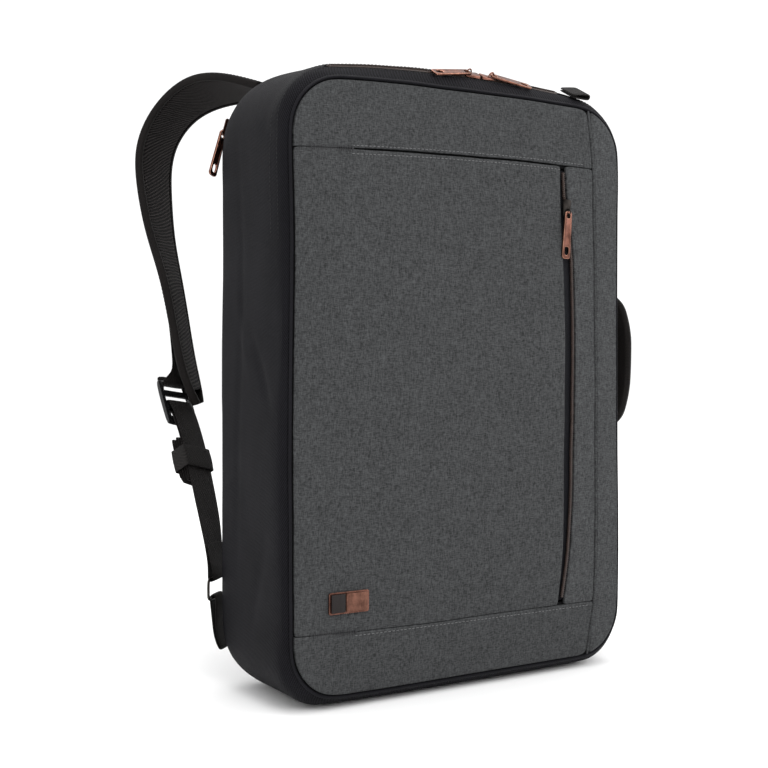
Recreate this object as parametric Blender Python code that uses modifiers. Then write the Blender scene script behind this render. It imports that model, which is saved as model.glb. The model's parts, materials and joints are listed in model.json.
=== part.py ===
"""Convertible backpack: a soft rounded-box bag with a padded grey front, a black
gusset, three zips with metal pulls, a back panel with two shoulder straps, a grab
handle on one side and a small metal plate low on the front.

Frame: origin at the middle of the base, X to the bag's right as seen from the front,
the front faces -Y, Z up. Metres.
"""

import math

import bmesh
import bpy
from mathutils import Matrix, Vector

# Body
BODY_WIDTH = 0.296  # across the front seam
BODY_HEIGHT = 0.4255  # front seam, from its lowest line to its shoulders
BODY_DEPTH = 0.108  # front seam to back edge
BODY_SHIFT = 0.002  # how far the middle of the depth lies behind the origin
SEAM_RADIUS = 0.038  # corners of the front seam
CORNER_GAIN = 0.012  # how much wider the top corners are behind it
FOOT_GAIN = 0.004  # and the bottom corners
SIDE_SWELL = 0.0060  # the gusset's sides stand out past the front seam
TOP_SWELL = 0.011
BASE_SWELL = 0.0073
CROWN = 0.0135  # bow of the top between its shoulders
LEAN = 0.0015  # the right shoulder sits lower than the middle by this
FABRIC = 0.0025  # gusset wall
DENT = 0.0022  # deepest soft dent of the gusset
GAP = 0.0003  # between pieces that touch

# Front panels
PANEL_THICK = 0.003
PANEL_LIFT = 0.0032  # the panels' face in front of the seam, at the edge
PANEL_DOME = 0.0052  # and its further bulge at the middle
BACKING = 0.0015
PIPING_RADIUS = 0.0010
PIPING_INSET = 0.0006  # its middle from the gusset's outer face
SEAM_GAP = 0.0004  # between panels that are sewn together
SLIT_HEIGHT = 0.3833  # mouth of the top slip pocket, at its ends
SLIT_BOW = 0.0035
SLIT_OPEN = 0.0017
SLIT_LEFT = -0.103
SLIT_RIGHT = 0.095
LOW_SEAM_LEFT = 0.0533  # height of the seam above the bottom panel
LOW_SEAM_RIGHT = 0.0503
WELT_PLACE = 0.1220  # piped seam near the right edge
WELT_RADIUS = 0.0007
WELT_GAP = 0.0015  # from the welt's middle to a panel's edge

# Front zip
FRONT_ZIP_PLACE = 0.0975  # the coil's furthest point to the right
FRONT_ZIP_BOW = 0.0125
FRONT_ZIP_GAP = 0.0075  # widest open stretch beside the coil
FRONT_COIL_RADIUS = 0.0016
TAPE_LEFT = 0.080
TAPE_RIGHT = 0.106
FRONT_SLIDER_HEIGHT = 0.3528

# Top and back zips
MAIN_ZIP_DEPTH = 0.0105  # middle of the slot behind the front seam
MAIN_ZIP_WIDTH = 0.0070
BACK_ZIP_DEPTH = 0.1055
BACK_ZIP_WIDTH = 0.0032
TAPE_THICK = 0.0008
TAPE_SUNK = 0.0020
TAPE_MARGIN = 0.0007  # between the tape and the slot's edges
COIL_WIDTH = 0.0046
BACK_COIL_WIDTH = 0.0014
COIL_HEIGHT = 0.0017
MAIN_SLIDER_LEFT = 0.0130
MAIN_SLIDER_RIGHT = 0.0275
BACK_SLIDER_SHARE = 0.75  # along the top left corner

# Slider and pull
SLIDER_LENGTH = 0.013
SLIDER_WIDTH = 0.0085
SLIDER_THICK = 0.0016
SLIDER_NOSE = 0.0008  # thickness at the pull's end
BAIL_RADIUS = 0.0024
BAIL_WIRE = 0.00065
BAIL_SHIFT = 0.0033  # towards the pull
PULL_LENGTH = 0.036
PULL_WIDTH = 0.0080
PULL_THICK = 0.0016
PULL_BAR = 0.0014
PULL_MOUTH = 0.0044  # opening that the bail passes through
HINGE_HEIGHT = 0.0008  # pull's axis above the slider
PULL_TILT = 3.4
PULL_SWING = 9.0  # the top pulls lean down the front slope
FRONT_PULL_TILT = 1.0
BACK_PULL_TILT = 7.0

# Back
BACK_WALL = 0.003
BACK_CUSHION = 0.006
BACK_RIM = 0.003  # the panel laps the gusset's back edge by this
CHANNEL = 0.022  # air channel between the cushions
YOKE_WIDTH = 0.190
YOKE_HEIGHT = 0.028
YOKE_PLACE = 0.408
YOKE_THICK = 0.003

# Shoulder straps
STRAP_ANCHOR = 0.050  # from the middle of the bag
STRAP_INSET = 0.020  # where it leans furthest out, from the front seam's side
STRAP_REACH = 0.152  # how far it stands behind the yoke
STRAP_TOP = 0.4223
STRAP_DROP = 0.220
STRAP_WIDTH = 0.062
STRAP_THICK = 0.0068
COVER_WALL = 0.0013
COVER_LIP = 0.0036
ROOT_THICK = 0.0045
WEBBING = 0.025
WEBBING_THICK = 0.0014
BUCKLE_WIDTH = 0.033
BUCKLE_LENGTH = 0.039
BUCKLE_THICK = 0.003
RING_WIDTH = 0.0335
RING_HEIGHT = 0.018
RING_CORNER = 0.0032
RING_WIRE = 0.0015
ANCHOR_WIDTH = 0.017
ANCHOR_TURN = 42.0  # it lies against the bag's back corner
ANCHOR_LIFT = 0.0011
KEEPER_HEIGHT = 0.019
KEEPER_WALL = 0.0011
ROLL_TOP = 0.13  # rolled-up free end, as shares of the lower webbing
ROLL_LOW = 0.41
ROLL_FOLDS = 4
ROLL_PITCH = 0.0022

# Side handle
HANDLE_LENGTH = 0.205
HANDLE_HEIGHT = 0.2353
HANDLE_REACH = 0.036
HANDLE_WIDTH = 0.032
HANDLE_THICK = 0.010
HANDLE_DEPTH = 0.0430  # behind the front seam
HANDLE_WEBBING = 0.0018

# Corner loop and plate
LOOP_PLACE = 0.1045
LOOP_LENGTH = 0.0170
LOOP_SLOPE = 0.02
LOOP_WIDTH = 0.018
LOOP_HEIGHT = 0.0056
LOOP_PLY = 0.0013
PLATE_WIDTH = 0.0315
PLATE_HEIGHT = 0.0150
PLATE_THICK = 0.0012
PLATE_X = -0.1050
PLATE_Z = 0.0739

FRONT = BODY_SHIFT - BODY_DEPTH / 2
HALF = BODY_WIDTH / 2
STRAP_SPREAD = HALF - STRAP_ANCHOR - STRAP_INSET
SHOULDER = BASE_SWELL + BODY_HEIGHT

# Gusset, front to back. Depth is a share of BODY_DEPTH, and the others are shares
# of SIDE_SWELL, TOP_SWELL, CROWN, BASE_SWELL and both corner gains.
GUSSET_ROWS = (
    # depth, side, top, crown, base, corner
    (0.000, 0.00, 0.00, 0.25, 0.0, 0.00),
    (0.028, 0.70, 0.22, 0.43, 0.4, -0.10),
    (0.065, 0.90, 0.38, 0.64, 0.8, -0.10),
    (0.130, 1.00, 0.54, 0.85, 1.0, 0.45),
    (0.222, 0.96, 0.61, 0.94, 1.0, 0.90),
    (0.389, 0.80, 0.70, 0.96, 1.0, 1.00),
    (0.630, 0.50, 0.80, 0.96, 1.0, 0.95),
    (0.796, 0.30, 0.86, 0.90, 1.0, 1.00),
    (0.907, 0.06, 0.83, 0.80, 0.6, 1.00),
    (0.950, -0.35, 0.62, 0.70, 0.0, 0.90),
    (0.975, -0.85, 0.28, 0.58, -0.8, 0.60),
    (0.990, -1.45, -0.15, 0.45, -2.0, 0.25),
    (1.000, -2.40, -0.85, 0.30, -3.3, -0.25),
)
# Ways round the gusset, anticlockwise from the base's left end, with their steps
PERIMETER = (
    ("base", 4),
    ("low right", 5),
    ("right", 10),
    ("high right", 5),
    ("top", 14),
    ("high left", 5),
    ("left", 10),
    ("low left", 5),
)
# Soft dents of the gusset's sides: side, share of the height, share of the depth,
# half length and half width as shares of the depth, turn, share of DENT
DENTS = (
    # side, height, depth, long, wide, turn, deep
    (-1, 0.56, 0.16, 0.34, 0.10, 24, 0.9),
    (-1, 0.47, 0.63, 1.60, 0.05, 0, 0.5),
    (-1, 0.24, 0.30, 0.36, 0.13, -30, 0.6),
    (1, 0.60, 0.30, 0.40, 0.12, -20, 0.7),
    (1, 0.44, 0.63, 1.60, 0.05, 0, 0.5),
)
# Low bulges and dents of the front: places as shares of the half width and of the
# height, sizes as shares of the width, lift as a share of PANEL_DOME
SWELLS = (
    # across, height, wide, tall, lift
    (0.48, 0.62, 0.16, 0.40, 0.22),
    (0.60, 0.80, 0.07, 0.10, -0.12),
    (0.57, 0.46, 0.07, 0.12, -0.12),
    (-0.62, 0.86, 0.12, 0.10, 0.10),
    (-0.20, 0.08, 0.30, 0.05, 0.16),
)
# Front coil: share of the zip's height, share of FRONT_ZIP_BOW to the left, and
# the open stretch beside it as a share of FRONT_ZIP_GAP
ZIP_ROWS = (
    # height, left, open
    (0.00, 0.82, 0.30),
    (0.14, 0.36, 0.50),
    (0.29, 0.12, 0.85),
    (0.60, 0.00, 0.95),
    (0.80, 0.10, 1.00),
    (0.87, 0.34, 0.80),
    (0.91, 0.54, 0.50),
    (1.00, 0.70, 0.22),
)
# Welt: share of the front's height and distance left of WELT_PLACE as a share of
# the seam's radius
WELT_ROWS = (
    (0.00, 0.20),
    (0.12, 0.02),
    (0.45, 0.00),
    (0.88, 0.06),
    (1.00, 0.16),
)
# Shoulder strap, from the yoke to its tip. Places are shares of STRAP_SPREAD,
# STRAP_REACH and STRAP_DROP, turn and tilt are degrees.
STRAP_ROWS = (
    # along, out, back, up, turn, tilt, width
    (0.00, 0.00, 0.00, 0.00, 0, 0, 1.00),
    (0.07, 0.15, 0.17, 0.105, 10, 3, 1.00),
    (0.15, 0.40, 0.42, 0.150, 22, 8, 1.00),
    (0.23, 0.56, 0.65, 0.160, 34, 11, 1.00),
    (0.30, 0.69, 0.84, 0.130, 44, 12, 1.00),
    (0.36, 0.80, 0.95, 0.065, 43, 11, 1.00),
    (0.42, 0.89, 1.00, -0.010, 40, 8, 0.98),
    (0.50, 0.94, 1.01, -0.117, 39, 5, 0.96),
    (0.58, 0.945, 0.975, -0.238, 41, 3, 0.94),
    (0.66, 0.955, 0.91, -0.360, 44, 1, 0.89),
    (0.80, 0.990, 0.70, -0.583, 50, 0, 0.80),
    (0.92, 1.000, 0.54, -0.846, 51, 0, 0.74),
    (1.00, 0.985, 0.41, -1.000, 52, 0, 0.70),
)
# The pad's rounded tip: share of the strap's length and of its width there
TIP_ROWS = ((0.90, 1.00), (0.95, 0.94), (0.98, 0.74), (1.00, 0.42))
# Lower webbing from the buckle to the ring: places as shares of STRAP_SPREAD (out
# from the anchor), STRAP_REACH and STRAP_DROP, turn in degrees
WEB_ROWS = (
    # along, out, back, up, turn
    (0.00, 1.125, 0.388, -1.049, 24),
    (0.15, 1.117, 0.330, -1.122, 24),
    (0.47, 1.155, 0.173, -1.285, 24),
    (0.77, 1.196, 0.035, -1.437, 30),
    (1.00, 1.243, -0.053, -1.550, 42),
)
# Side handle: share of its length, share of HANDLE_REACH, and of its thickness
HANDLE_ROWS = (
    # along, out, thick
    (0.00, 0.00, 0.20),
    (0.09, 0.10, 0.22),
    (0.19, 0.44, 0.40),
    (0.30, 0.80, 0.95),
    (0.42, 0.97, 1.00),
    (0.58, 1.00, 1.00),
    (0.70, 0.84, 0.95),
    (0.81, 0.48, 0.40),
    (0.91, 0.11, 0.22),
    (1.00, 0.00, 0.20),
)

for old in list(bpy.data.objects):
    bpy.data.objects.remove(old, do_unlink=True)

bag = bpy.data.collections.new("Convertible backpack")
guides = bpy.data.collections.new("Guides")
bpy.context.scene.collection.children.link(bag)
bpy.context.scene.collection.children.link(guides)

# Finishes: colour, roughness, metallic
FINISHES = {
    "gusset fabric": ((0.012, 0.012, 0.014), 0.85, 0.0),
    "heather fabric": ((0.060, 0.062, 0.065), 0.95, 0.0),
    "lining": ((0.010, 0.010, 0.011), 0.90, 0.0),
    "zip tape": ((0.012, 0.011, 0.011), 0.80, 0.0),
    "zip coil": ((0.045, 0.028, 0.022), 0.55, 0.0),
    "copper": ((0.330, 0.130, 0.080), 0.35, 1.0),
    "webbing": ((0.014, 0.013, 0.012), 0.80, 0.0),
    "spacer mesh": ((0.020, 0.019, 0.018), 0.95, 0.0),
    "moulded plastic": ((0.010, 0.010, 0.011), 0.25, 0.0),
    "root fabric": ((0.090, 0.090, 0.092), 0.85, 0.0),
}


def mix(a, b, share):
    return a + (b - a) * share


def blend_rows(rows, where):
    """The columns of a table at any value of its first column, smoothly and without
    overshoot between rows."""
    keys = [row[0] for row in rows]
    if where <= keys[0]:
        return list(rows[0][1:])
    if where >= keys[-1]:
        return list(rows[-1][1:])
    k = max(i for i, key in enumerate(keys) if key <= where)
    wide = keys[k + 1] - keys[k]
    t = (where - keys[k]) / wide
    values = []
    for column in range(1, len(rows[0])):
        slopes = []
        for i in (k, k + 1):
            if i in (0, len(rows) - 1):
                j = min(i, len(rows) - 2)
                slopes.append((rows[j + 1][column] - rows[j][column]) / (keys[j + 1] - keys[j]))
                continue
            before = (rows[i][column] - rows[i - 1][column]) / (keys[i] - keys[i - 1])
            after = (rows[i + 1][column] - rows[i][column]) / (keys[i + 1] - keys[i])
            same = before * after > 0
            slopes.append(2 * before * after / (before + after) if same else 0.0)
        a, b = rows[k][column], rows[k + 1][column]
        values.append(
            a * (1 + 2 * t) * (1 - t) ** 2
            + b * t * t * (3 - 2 * t)
            + wide * (slopes[0] * t * (1 - t) ** 2 - slopes[1] * t * t * (1 - t))
        )
    return values


def finish(name):
    """Each piece has a material of its own, in one of the bag's finishes."""
    colour, rough, metal = FINISHES[name]
    material = bpy.data.materials.new(name)
    material.use_nodes = True
    shader = material.node_tree.nodes["Principled BSDF"]
    shader.inputs["Base Color"].default_value = (*colour, 1.0)
    shader.inputs["Roughness"].default_value = rough
    shader.inputs["Metallic"].default_value = metal
    return material


def add(name, mesh, look, collection=None):
    piece = bpy.data.objects.new(name, mesh)
    (collection or bag).objects.link(piece)
    if look:
        mesh.materials.clear()
        mesh.materials.append(finish(look))
    return piece


def to_mesh(bm, name):
    mesh = bpy.data.meshes.new(name)
    bm.to_mesh(mesh)
    bm.free()
    return mesh


def mapped_grid(columns, rows, place, skip=None, wrap=False):
    """A grid whose point at column i, row j goes to place(i, j)."""
    bm = bmesh.new()
    bmesh.ops.create_grid(bm, x_segments=columns, y_segments=rows, size=0.5)
    gone = []
    for face in bm.faces:
        middle = face.calc_center_median()
        cell = int((middle.x + 0.5) * columns), int((middle.y + 0.5) * rows)
        if skip and skip(*cell):
            gone.append(face)
    for vert in bm.verts:
        vert.co = place(round((vert.co.x + 0.5) * columns), round((vert.co.y + 0.5) * rows))
    if gone:
        bmesh.ops.delete(bm, geom=gone, context="FACES")
    if wrap:
        bmesh.ops.remove_doubles(bm, verts=bm.verts, dist=1e-5)
    return bm


def shell(name, bm, thick, look):
    """An open surface with a wall on its inner side."""
    piece = add(name, to_mesh(bm, name), look)
    wall = piece.modifiers.new("Wall", "SOLIDIFY")
    wall.thickness = thick
    wall.offset = -1.0
    wall.use_even_offset = True
    return piece


def loft(name, rings, look):
    """A closed body through rings of the same number of points."""
    around = len(rings[0])
    bm = mapped_grid(around, len(rings) - 1, lambda i, j: rings[j][i % around], wrap=True)
    ends = [edge for edge in bm.edges if edge.is_boundary]
    bmesh.ops.holes_fill(bm, edges=ends, sides=0)
    bmesh.ops.triangulate(bm, faces=bm.faces, quad_method="SHORT_EDGE")
    bmesh.ops.recalc_face_normals(bm, faces=bm.faces)
    return add(name, to_mesh(bm, name), look)


def tube(name, points, radius, look, cyclic=False, sides=1):
    curve = bpy.data.curves.new(name, "CURVE")
    curve.dimensions = "3D"
    curve.bevel_depth = radius
    curve.bevel_resolution = sides
    curve.use_fill_caps = True
    spline = curve.splines.new("POLY")
    spline.points.add(len(points) - 1)
    for point, place in zip(spline.points, points):
        point.co = (*place, 1.0)
    spline.use_cyclic_u = cyclic
    return add(name, curve, look)


def baked(piece):
    """The piece's evaluated mesh in world space, welded, as a new mesh."""
    seen = piece.evaluated_get(bpy.context.evaluated_depsgraph_get())
    mesh = bpy.data.meshes.new_from_object(seen)
    mesh.transform(piece.matrix_world)
    bm = bmesh.new()
    bm.from_mesh(mesh)
    bmesh.ops.remove_doubles(bm, verts=bm.verts, dist=1e-6)
    bm.to_mesh(mesh)
    bm.free()
    return mesh


def flat_outline(name, splines, thick):
    """A plate cut from flat outlines in X and Y: the first is its edge and the
    others are holes."""
    curve = bpy.data.curves.new(name, "CURVE")
    curve.dimensions = "2D"
    curve.fill_mode = "BOTH"
    curve.extrude = thick / 2
    for outline in splines:
        spline = curve.splines.new("POLY")
        spline.points.add(len(outline) - 1)
        for point, (x, y) in zip(spline.points, outline):
            point.co = (x, y, 0.0, 1.0)
        spline.use_cyclic_u = True
    guide = add(name, curve, None, guides)
    mesh = baked(guide)
    bpy.data.objects.remove(guide, do_unlink=True)
    return mesh


def rounded(width, height, radius, steps, middle=(0.0, 0.0)):
    """Points of a rectangle with round corners."""
    points = []
    for corner, (sx, sy) in enumerate(((1, 1), (-1, 1), (-1, -1), (1, -1))):
        for step in range(steps + 1):
            angle = math.radians(90 * (corner + step / steps))
            points.append((
                middle[0] + sx * (width / 2 - radius) + radius * math.cos(angle),
                middle[1] + sy * (height / 2 - radius) + radius * math.sin(angle),
            ))
    return points


# The gusset's surface


def section_at(depth):
    side, top, crown, base, corner = blend_rows(GUSSET_ROWS, depth)
    return {
        "half": HALF + side * SIDE_SWELL,
        "low": BASE_SWELL * (1 - base),
        "high": SHOULDER + top * TOP_SWELL,
        "crown": crown * CROWN,
        "radius": SEAM_RADIUS + corner * CORNER_GAIN,
        "foot": SEAM_RADIUS + corner * FOOT_GAIN,
    }


def outline_at(section, along):
    """A point of a section's outline, with along counted in steps of PERIMETER."""
    half, low, high = section["half"], section["low"], section["high"]
    radius, foot = section["radius"], section["foot"]
    total = sum(steps for _, steps in PERIMETER)
    along = along % total
    for part, steps in PERIMETER:
        if along <= steps:
            break
        along -= steps
    share = along / steps
    wide, stand = half - radius, half - foot
    arcs = {
        "low right": (stand, low + foot, foot, -90),
        "high right": (wide, high - radius, radius, 0),
        "high left": (-wide, high - radius, radius, 90),
        "low left": (-stand, low + foot, foot, 180),
    }
    if part in arcs:
        x, z, size, start = arcs[part]
        angle = math.radians(start + 90 * share)
        x += size * math.cos(angle)
        z += size * math.sin(angle)
    elif part == "base":
        x, z = mix(-stand, stand, share), low
    elif part == "top":
        x, z = mix(wide, -wide, share), high
    elif part == "right":
        x, z = half, mix(low + foot, high - radius, share)
    else:
        x, z = -half, mix(high - radius, low + foot, share)
    middle = (low + high) / 2
    rise = max(0.0, (z - middle) / (high - middle)) ** 4
    z += rise * (section["crown"] * (1 - (x / half) ** 2) - LEAN * x / half)
    return x, z


def steps_before(part):
    count = 0
    for name, steps in PERIMETER:
        if name == part:
            return count
        count += steps
    raise ValueError(part)


def dent_at(side, depth, z):
    deep = 0.0
    for which, height, place, long, wide, turn, share in DENTS:
        if which != side:
            continue
        up = (z - height * SHOULDER) / BODY_DEPTH
        back = depth - place
        angle = math.radians(turn)
        a = up * math.cos(angle) - back * math.sin(angle)
        b = up * math.sin(angle) + back * math.cos(angle)
        deep += share * DENT * math.exp(-((a / long) ** 2) - (b / wide) ** 2)
    return deep


def gusset_point(along, depth):
    x, z = outline_at(section_at(depth), along)
    fade = min(1.0, depth / 0.06, (1 - depth) / 0.06)
    side = 1 if x > 0 else -1
    if abs(x) > HALF - SEAM_RADIUS / 2:
        x -= side * dent_at(side, depth, z) * max(0.0, fade)
    return Vector((x, FRONT + depth * BODY_DEPTH, z))


def gusset_frame(along, depth):
    """Point, way along the outline, way to the back, and outward normal."""
    step = 0.02
    point = gusset_point(along, depth)
    round_way = gusset_point(along + step, depth) - gusset_point(along - step, depth)
    back_way = gusset_point(along, min(1.0, depth + step)) - gusset_point(along, max(0.0, depth - step))
    round_way.normalize()
    back_way.normalize()
    normal = back_way.cross(round_way)
    normal.normalize()
    return point, round_way, back_way, normal


def lifted(along, depth, lift):
    point, _, _, normal = gusset_frame(along, depth)
    return point + normal * lift


def zip_edges(depth, width):
    return (depth - width / 2) / BODY_DEPTH, (depth + width / 2) / BODY_DEPTH


MAIN_EDGES = zip_edges(MAIN_ZIP_DEPTH, MAIN_ZIP_WIDTH)
BACK_EDGES = zip_edges(BACK_ZIP_DEPTH, BACK_ZIP_WIDTH)
MAIN_RUN = (steps_before("top"), steps_before("high left"))
BACK_RUN = (steps_before("high right"), steps_before("left"))
GUSSET_DEPTHS = sorted([0.0, 0.028, 0.222, 0.389, 0.630, 0.796, 0.907, 1.0, *MAIN_EDGES, *BACK_EDGES])


def make_gusset():
    depths = GUSSET_DEPTHS[::-1]
    around = sum(steps for _, steps in PERIMETER)

    def in_a_slot(i, j):
        middle = (depths[j] + depths[j + 1]) / 2
        main = MAIN_EDGES[0] < middle < MAIN_EDGES[1] and MAIN_RUN[0] <= i < MAIN_RUN[1]
        back = BACK_EDGES[0] < middle < BACK_EDGES[1] and BACK_RUN[0] <= i < BACK_RUN[1]
        return main or back

    bm = mapped_grid(
        around, len(depths) - 1, lambda i, j: gusset_point(i, depths[j]), in_a_slot, wrap=True
    )
    shell("gusset_band", bm, FABRIC, "gusset fabric")


def make_slot_zip(name, run, edges, coil_width, first):
    """Tape that fills a slot of the gusset, and the coil along its middle, which
    starts a number of steps into the slot."""
    margin = TAPE_MARGIN / BODY_DEPTH
    steps = run[1] - run[0]
    ends = 0.06

    def place(i, j):
        along = min(max(run[0] + i, run[0] + ends), run[1] - ends)
        return lifted(along, (edges[1] - margin, edges[0] + margin)[j], -TAPE_SUNK)

    shell(name + "_tape", mapped_grid(steps, 1, place), TAPE_THICK, "zip tape")
    rings = []
    middle = (edges[0] + edges[1]) / 2
    stops = [run[0] + first, *range(math.floor(run[0] + first) + 1, run[1]), run[1] - 0.2]
    for at in stops:
        point, _, back_way, normal = gusset_frame(at, middle)
        normal = (lifted(at, middle, COIL_HEIGHT) - point).normalized()
        centre = point + normal * (2 * GAP + COIL_HEIGHT / 2 - TAPE_SUNK)
        ring = []
        for k in range(6):
            angle = math.radians(60 * k)
            ring.append(
                centre
                + back_way * (coil_width / 2 * math.cos(angle))
                + normal * (COIL_HEIGHT / 2 * math.sin(angle))
            )
        rings.append(ring)
    loft(name + "_coil", rings, "zip coil")


# The front's surface


def front_top(x, inset=0.0):
    """Height of the front's outline above x, drawn in by inset."""
    section = section_at(0.0)
    half, radius = section["half"] - inset, section["radius"] - inset
    over = min(max(0.0, abs(x) - (half - radius)), radius)
    z = section["high"] - inset - radius + math.sqrt(max(0.0, radius**2 - over**2))
    middle = (section["low"] + section["high"]) / 2
    rise = max(0.0, (z - middle) / (section["high"] - middle)) ** 4
    return z + rise * (section["crown"] * (1 - (x / HALF) ** 2) - LEAN * x / HALF)


def front_low(x, inset=0.0):
    section = section_at(0.0)
    half, radius = section["half"] - inset, section["foot"] - inset
    over = min(max(0.0, abs(x) - (half - radius)), radius)
    return section["low"] + inset + radius - math.sqrt(max(0.0, radius**2 - over**2))


def front_face(x, z):
    """How far forward the panels' face lies, as a Y."""
    across = min(1.0, abs(x) / HALF)
    up = min(1.0, abs(2 * (z - BASE_SWELL) / BODY_HEIGHT - 1))
    dome = (1 - across**3) * (1 - up**3.5)
    for place, height, wide, tall, lift in SWELLS:
        a = (x - place * HALF) / (wide * BODY_WIDTH)
        b = (z - height * SHOULDER) / (tall * BODY_WIDTH)
        dome += lift * math.exp(-a * a - b * b)
    return FRONT - PANEL_LIFT - PANEL_DOME * max(0.0, dome)


def slit_line(x):
    return SLIT_HEIGHT + SLIT_BOW * (1 - (x / HALF) ** 2)


def slit_half(x):
    """Half the slit's opening, which closes to a sewn seam past its ends."""
    fade = 0.012
    inside = min(1.0, max(0.0, min(x - SLIT_LEFT, SLIT_RIGHT - x) / fade))
    return mix(SEAM_GAP / 2, SLIT_OPEN / 2, inside)


def low_seam(x):
    return mix(LOW_SEAM_LEFT, LOW_SEAM_RIGHT, (x + HALF) / BODY_WIDTH)


def welt_x(z):
    (left,) = blend_rows(WELT_ROWS, (z - BASE_SWELL) / BODY_HEIGHT)
    return WELT_PLACE - left * SEAM_RADIUS


def zip_line(z):
    """The coil's X, and the width that lies open on its left."""
    low, high = LOW_SEAM_RIGHT, SLIT_HEIGHT
    left, opened = blend_rows(ZIP_ROWS, (z - low) / (high - low))
    return FRONT_ZIP_PLACE - left * FRONT_ZIP_BOW, opened * FRONT_ZIP_GAP


def flap_edge(z):
    x, opened = zip_line(z)
    return x - FRONT_COIL_RADIUS - GAP - opened


def strip_edge(z):
    return zip_line(z)[0] + FRONT_COIL_RADIUS + 3 * GAP


PANEL_INSET = PIPING_INSET + PIPING_RADIUS + 3 * GAP


def corner_shares(width, radius, arc, plain):
    """Column places as shares of a width, close together round a corner."""
    shares = [(1 - math.cos(math.radians(90 * k / arc))) * radius / width for k in range(arc)]
    first = radius / width
    return shares + [mix(first, 1.0, k / plain) for k in range(plain + 1)]


def make_patch(name, left, right, low, high, columns, rows):
    """A front panel between two side lines and a lower and an upper line."""

    def place(i, j):
        share = j / rows
        x = mix(left(SHOULDER / 2), right(SHOULDER / 2), columns[i])
        for _ in range(3):
            z = mix(low(x), high(x), share)
            x = mix(left(z), right(z), columns[i])
        return Vector((x, front_face(x, z), z))

    bm = mapped_grid(len(columns) - 1, rows, place)
    shell(name, bm, PANEL_THICK, "heather fabric")


def make_front():
    edge = HALF - PANEL_INSET
    radius = SEAM_RADIUS - PANEL_INSET
    wide = edge + WELT_PLACE
    corner = corner_shares(wide, radius, 5, 8)
    even = [k / 8 for k in range(9)]
    bunched = [0.0, 0.3, 0.55, 0.75, 0.9, 1.0]

    def outer_left(z):
        return -edge

    def outer_right(z):
        return edge

    def welt_left(z):
        return welt_x(z) - WELT_GAP

    def welt_right(z):
        return welt_x(z) + WELT_GAP

    def top(x):
        return front_top(x, PANEL_INSET)

    def bottom(x):
        return front_low(x, PANEL_INSET)

    def over_slit(x):
        return slit_line(x) + slit_half(x)

    def under_slit(x):
        return slit_line(x) - slit_half(x)

    def over_seam(x):
        return low_seam(x) + SEAM_GAP / 2

    def under_seam(x):
        return low_seam(x) - SEAM_GAP / 2

    make_patch("front_top_panel", outer_left, welt_left, over_slit, top, corner, 3)
    make_patch("front_main_panel", outer_left, flap_edge, over_seam, under_slit, even, 12)
    make_patch("front_zip_strip", strip_edge, welt_left, over_seam, under_slit, [0.0, 1.0], 12)
    make_patch("front_side_strip", welt_right, outer_right, bottom, top, bunched, 12)
    make_patch("front_bottom_panel", outer_left, welt_left, bottom, under_seam, corner, 3)


def make_backing():
    """Lining behind the front panels, open where the zip tape shows."""
    inset = FABRIC + GAP
    edge = HALF - inset
    radius = SEAM_RADIUS - inset
    arc = [(1 - math.cos(math.radians(90 * k / 4))) * radius for k in range(5)]
    left = [-edge + step for step in arc]
    right = [edge - step for step in arc[::-1]]
    plain = [mix(left[-1], TAPE_LEFT, k / 5) for k in range(1, 5)]
    xs = left + plain + [TAPE_LEFT] + right[:1] + [TAPE_RIGHT] + right[1:]
    xs = sorted(set(x for x in xs if not TAPE_LEFT < x < TAPE_RIGHT))
    shares = [0.0, 1.0, 1.25, 1.5, 1.75, 2.0, 3.0]
    opening = (low_seam(TAPE_RIGHT) + 0.003, SLIT_HEIGHT - 0.001)

    def place(i, j):
        x = xs[i]
        low, high = front_low(x, inset), front_top(x, inset)
        marks = (low, opening[0], opening[1], high)
        band = min(int(shares[j]), 2)
        z = mix(marks[band], marks[band + 1], shares[j] - band)
        return Vector((x, front_face(x, z) + PANEL_THICK + GAP * 1.5, z))

    def behind_zip(i, j):
        return xs[i] >= TAPE_LEFT and xs[i + 1] <= TAPE_RIGHT and 1 <= j < len(shares) - 2

    bm = mapped_grid(len(xs) - 1, len(shares) - 1, place, behind_zip)
    shell("front_backing", bm, BACKING, "lining")

    def tape_place(i, j):
        x = mix(TAPE_LEFT + 1.3 * GAP, TAPE_RIGHT - 1.3 * GAP, i / 3)
        z = mix(opening[0] + 1.3 * GAP, opening[1] - 1.3 * GAP, j / 8)
        return Vector((x, front_face(x, z) + PANEL_THICK + GAP * 1.5, z))

    shell("front_zip_tape", mapped_grid(3, 8, tape_place), BACKING, "zip tape")


def make_front_trim():
    """Piping round the front seam, the welt and the front zip's coil."""
    around = sum(steps for _, steps in PERIMETER)
    section = section_at(0.0)
    for key in ("half", "radius", "foot", "high"):
        section[key] -= PIPING_INSET
    section["low"] += PIPING_INSET
    y = FRONT - 0.7 * PIPING_RADIUS - GAP
    points = []
    for i in range(around):
        x, z = outline_at(section, i)
        points.append(Vector((x, y, z)))
    tube("front_piping", points, PIPING_RADIUS, "gusset fabric", cyclic=True, sides=0)

    low, high = front_low(welt_x(0.0), PANEL_INSET), front_top(welt_x(1.0), PANEL_INSET)
    points = []
    for k in range(25):
        z = mix(low + WELT_RADIUS, high - WELT_RADIUS, k / 24)
        x = welt_x(z)
        points.append(Vector((x, front_face(x, z) + WELT_RADIUS / 2, z)))
    tube("side_welt", points, WELT_RADIUS, "gusset fabric", sides=0)

    low, high = LOW_SEAM_RIGHT + 0.006, SLIT_HEIGHT - 0.003
    points = []
    for k in range(20):
        z = mix(low, high, k / 19)
        x = zip_line(z)[0]
        points.append(Vector((x, front_face(x, z) + PANEL_THICK - FRONT_COIL_RADIUS, z)))
    tube("front_zip_coil", points, FRONT_COIL_RADIUS, "zip coil", sides=0)


# Sliders and pulls


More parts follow.
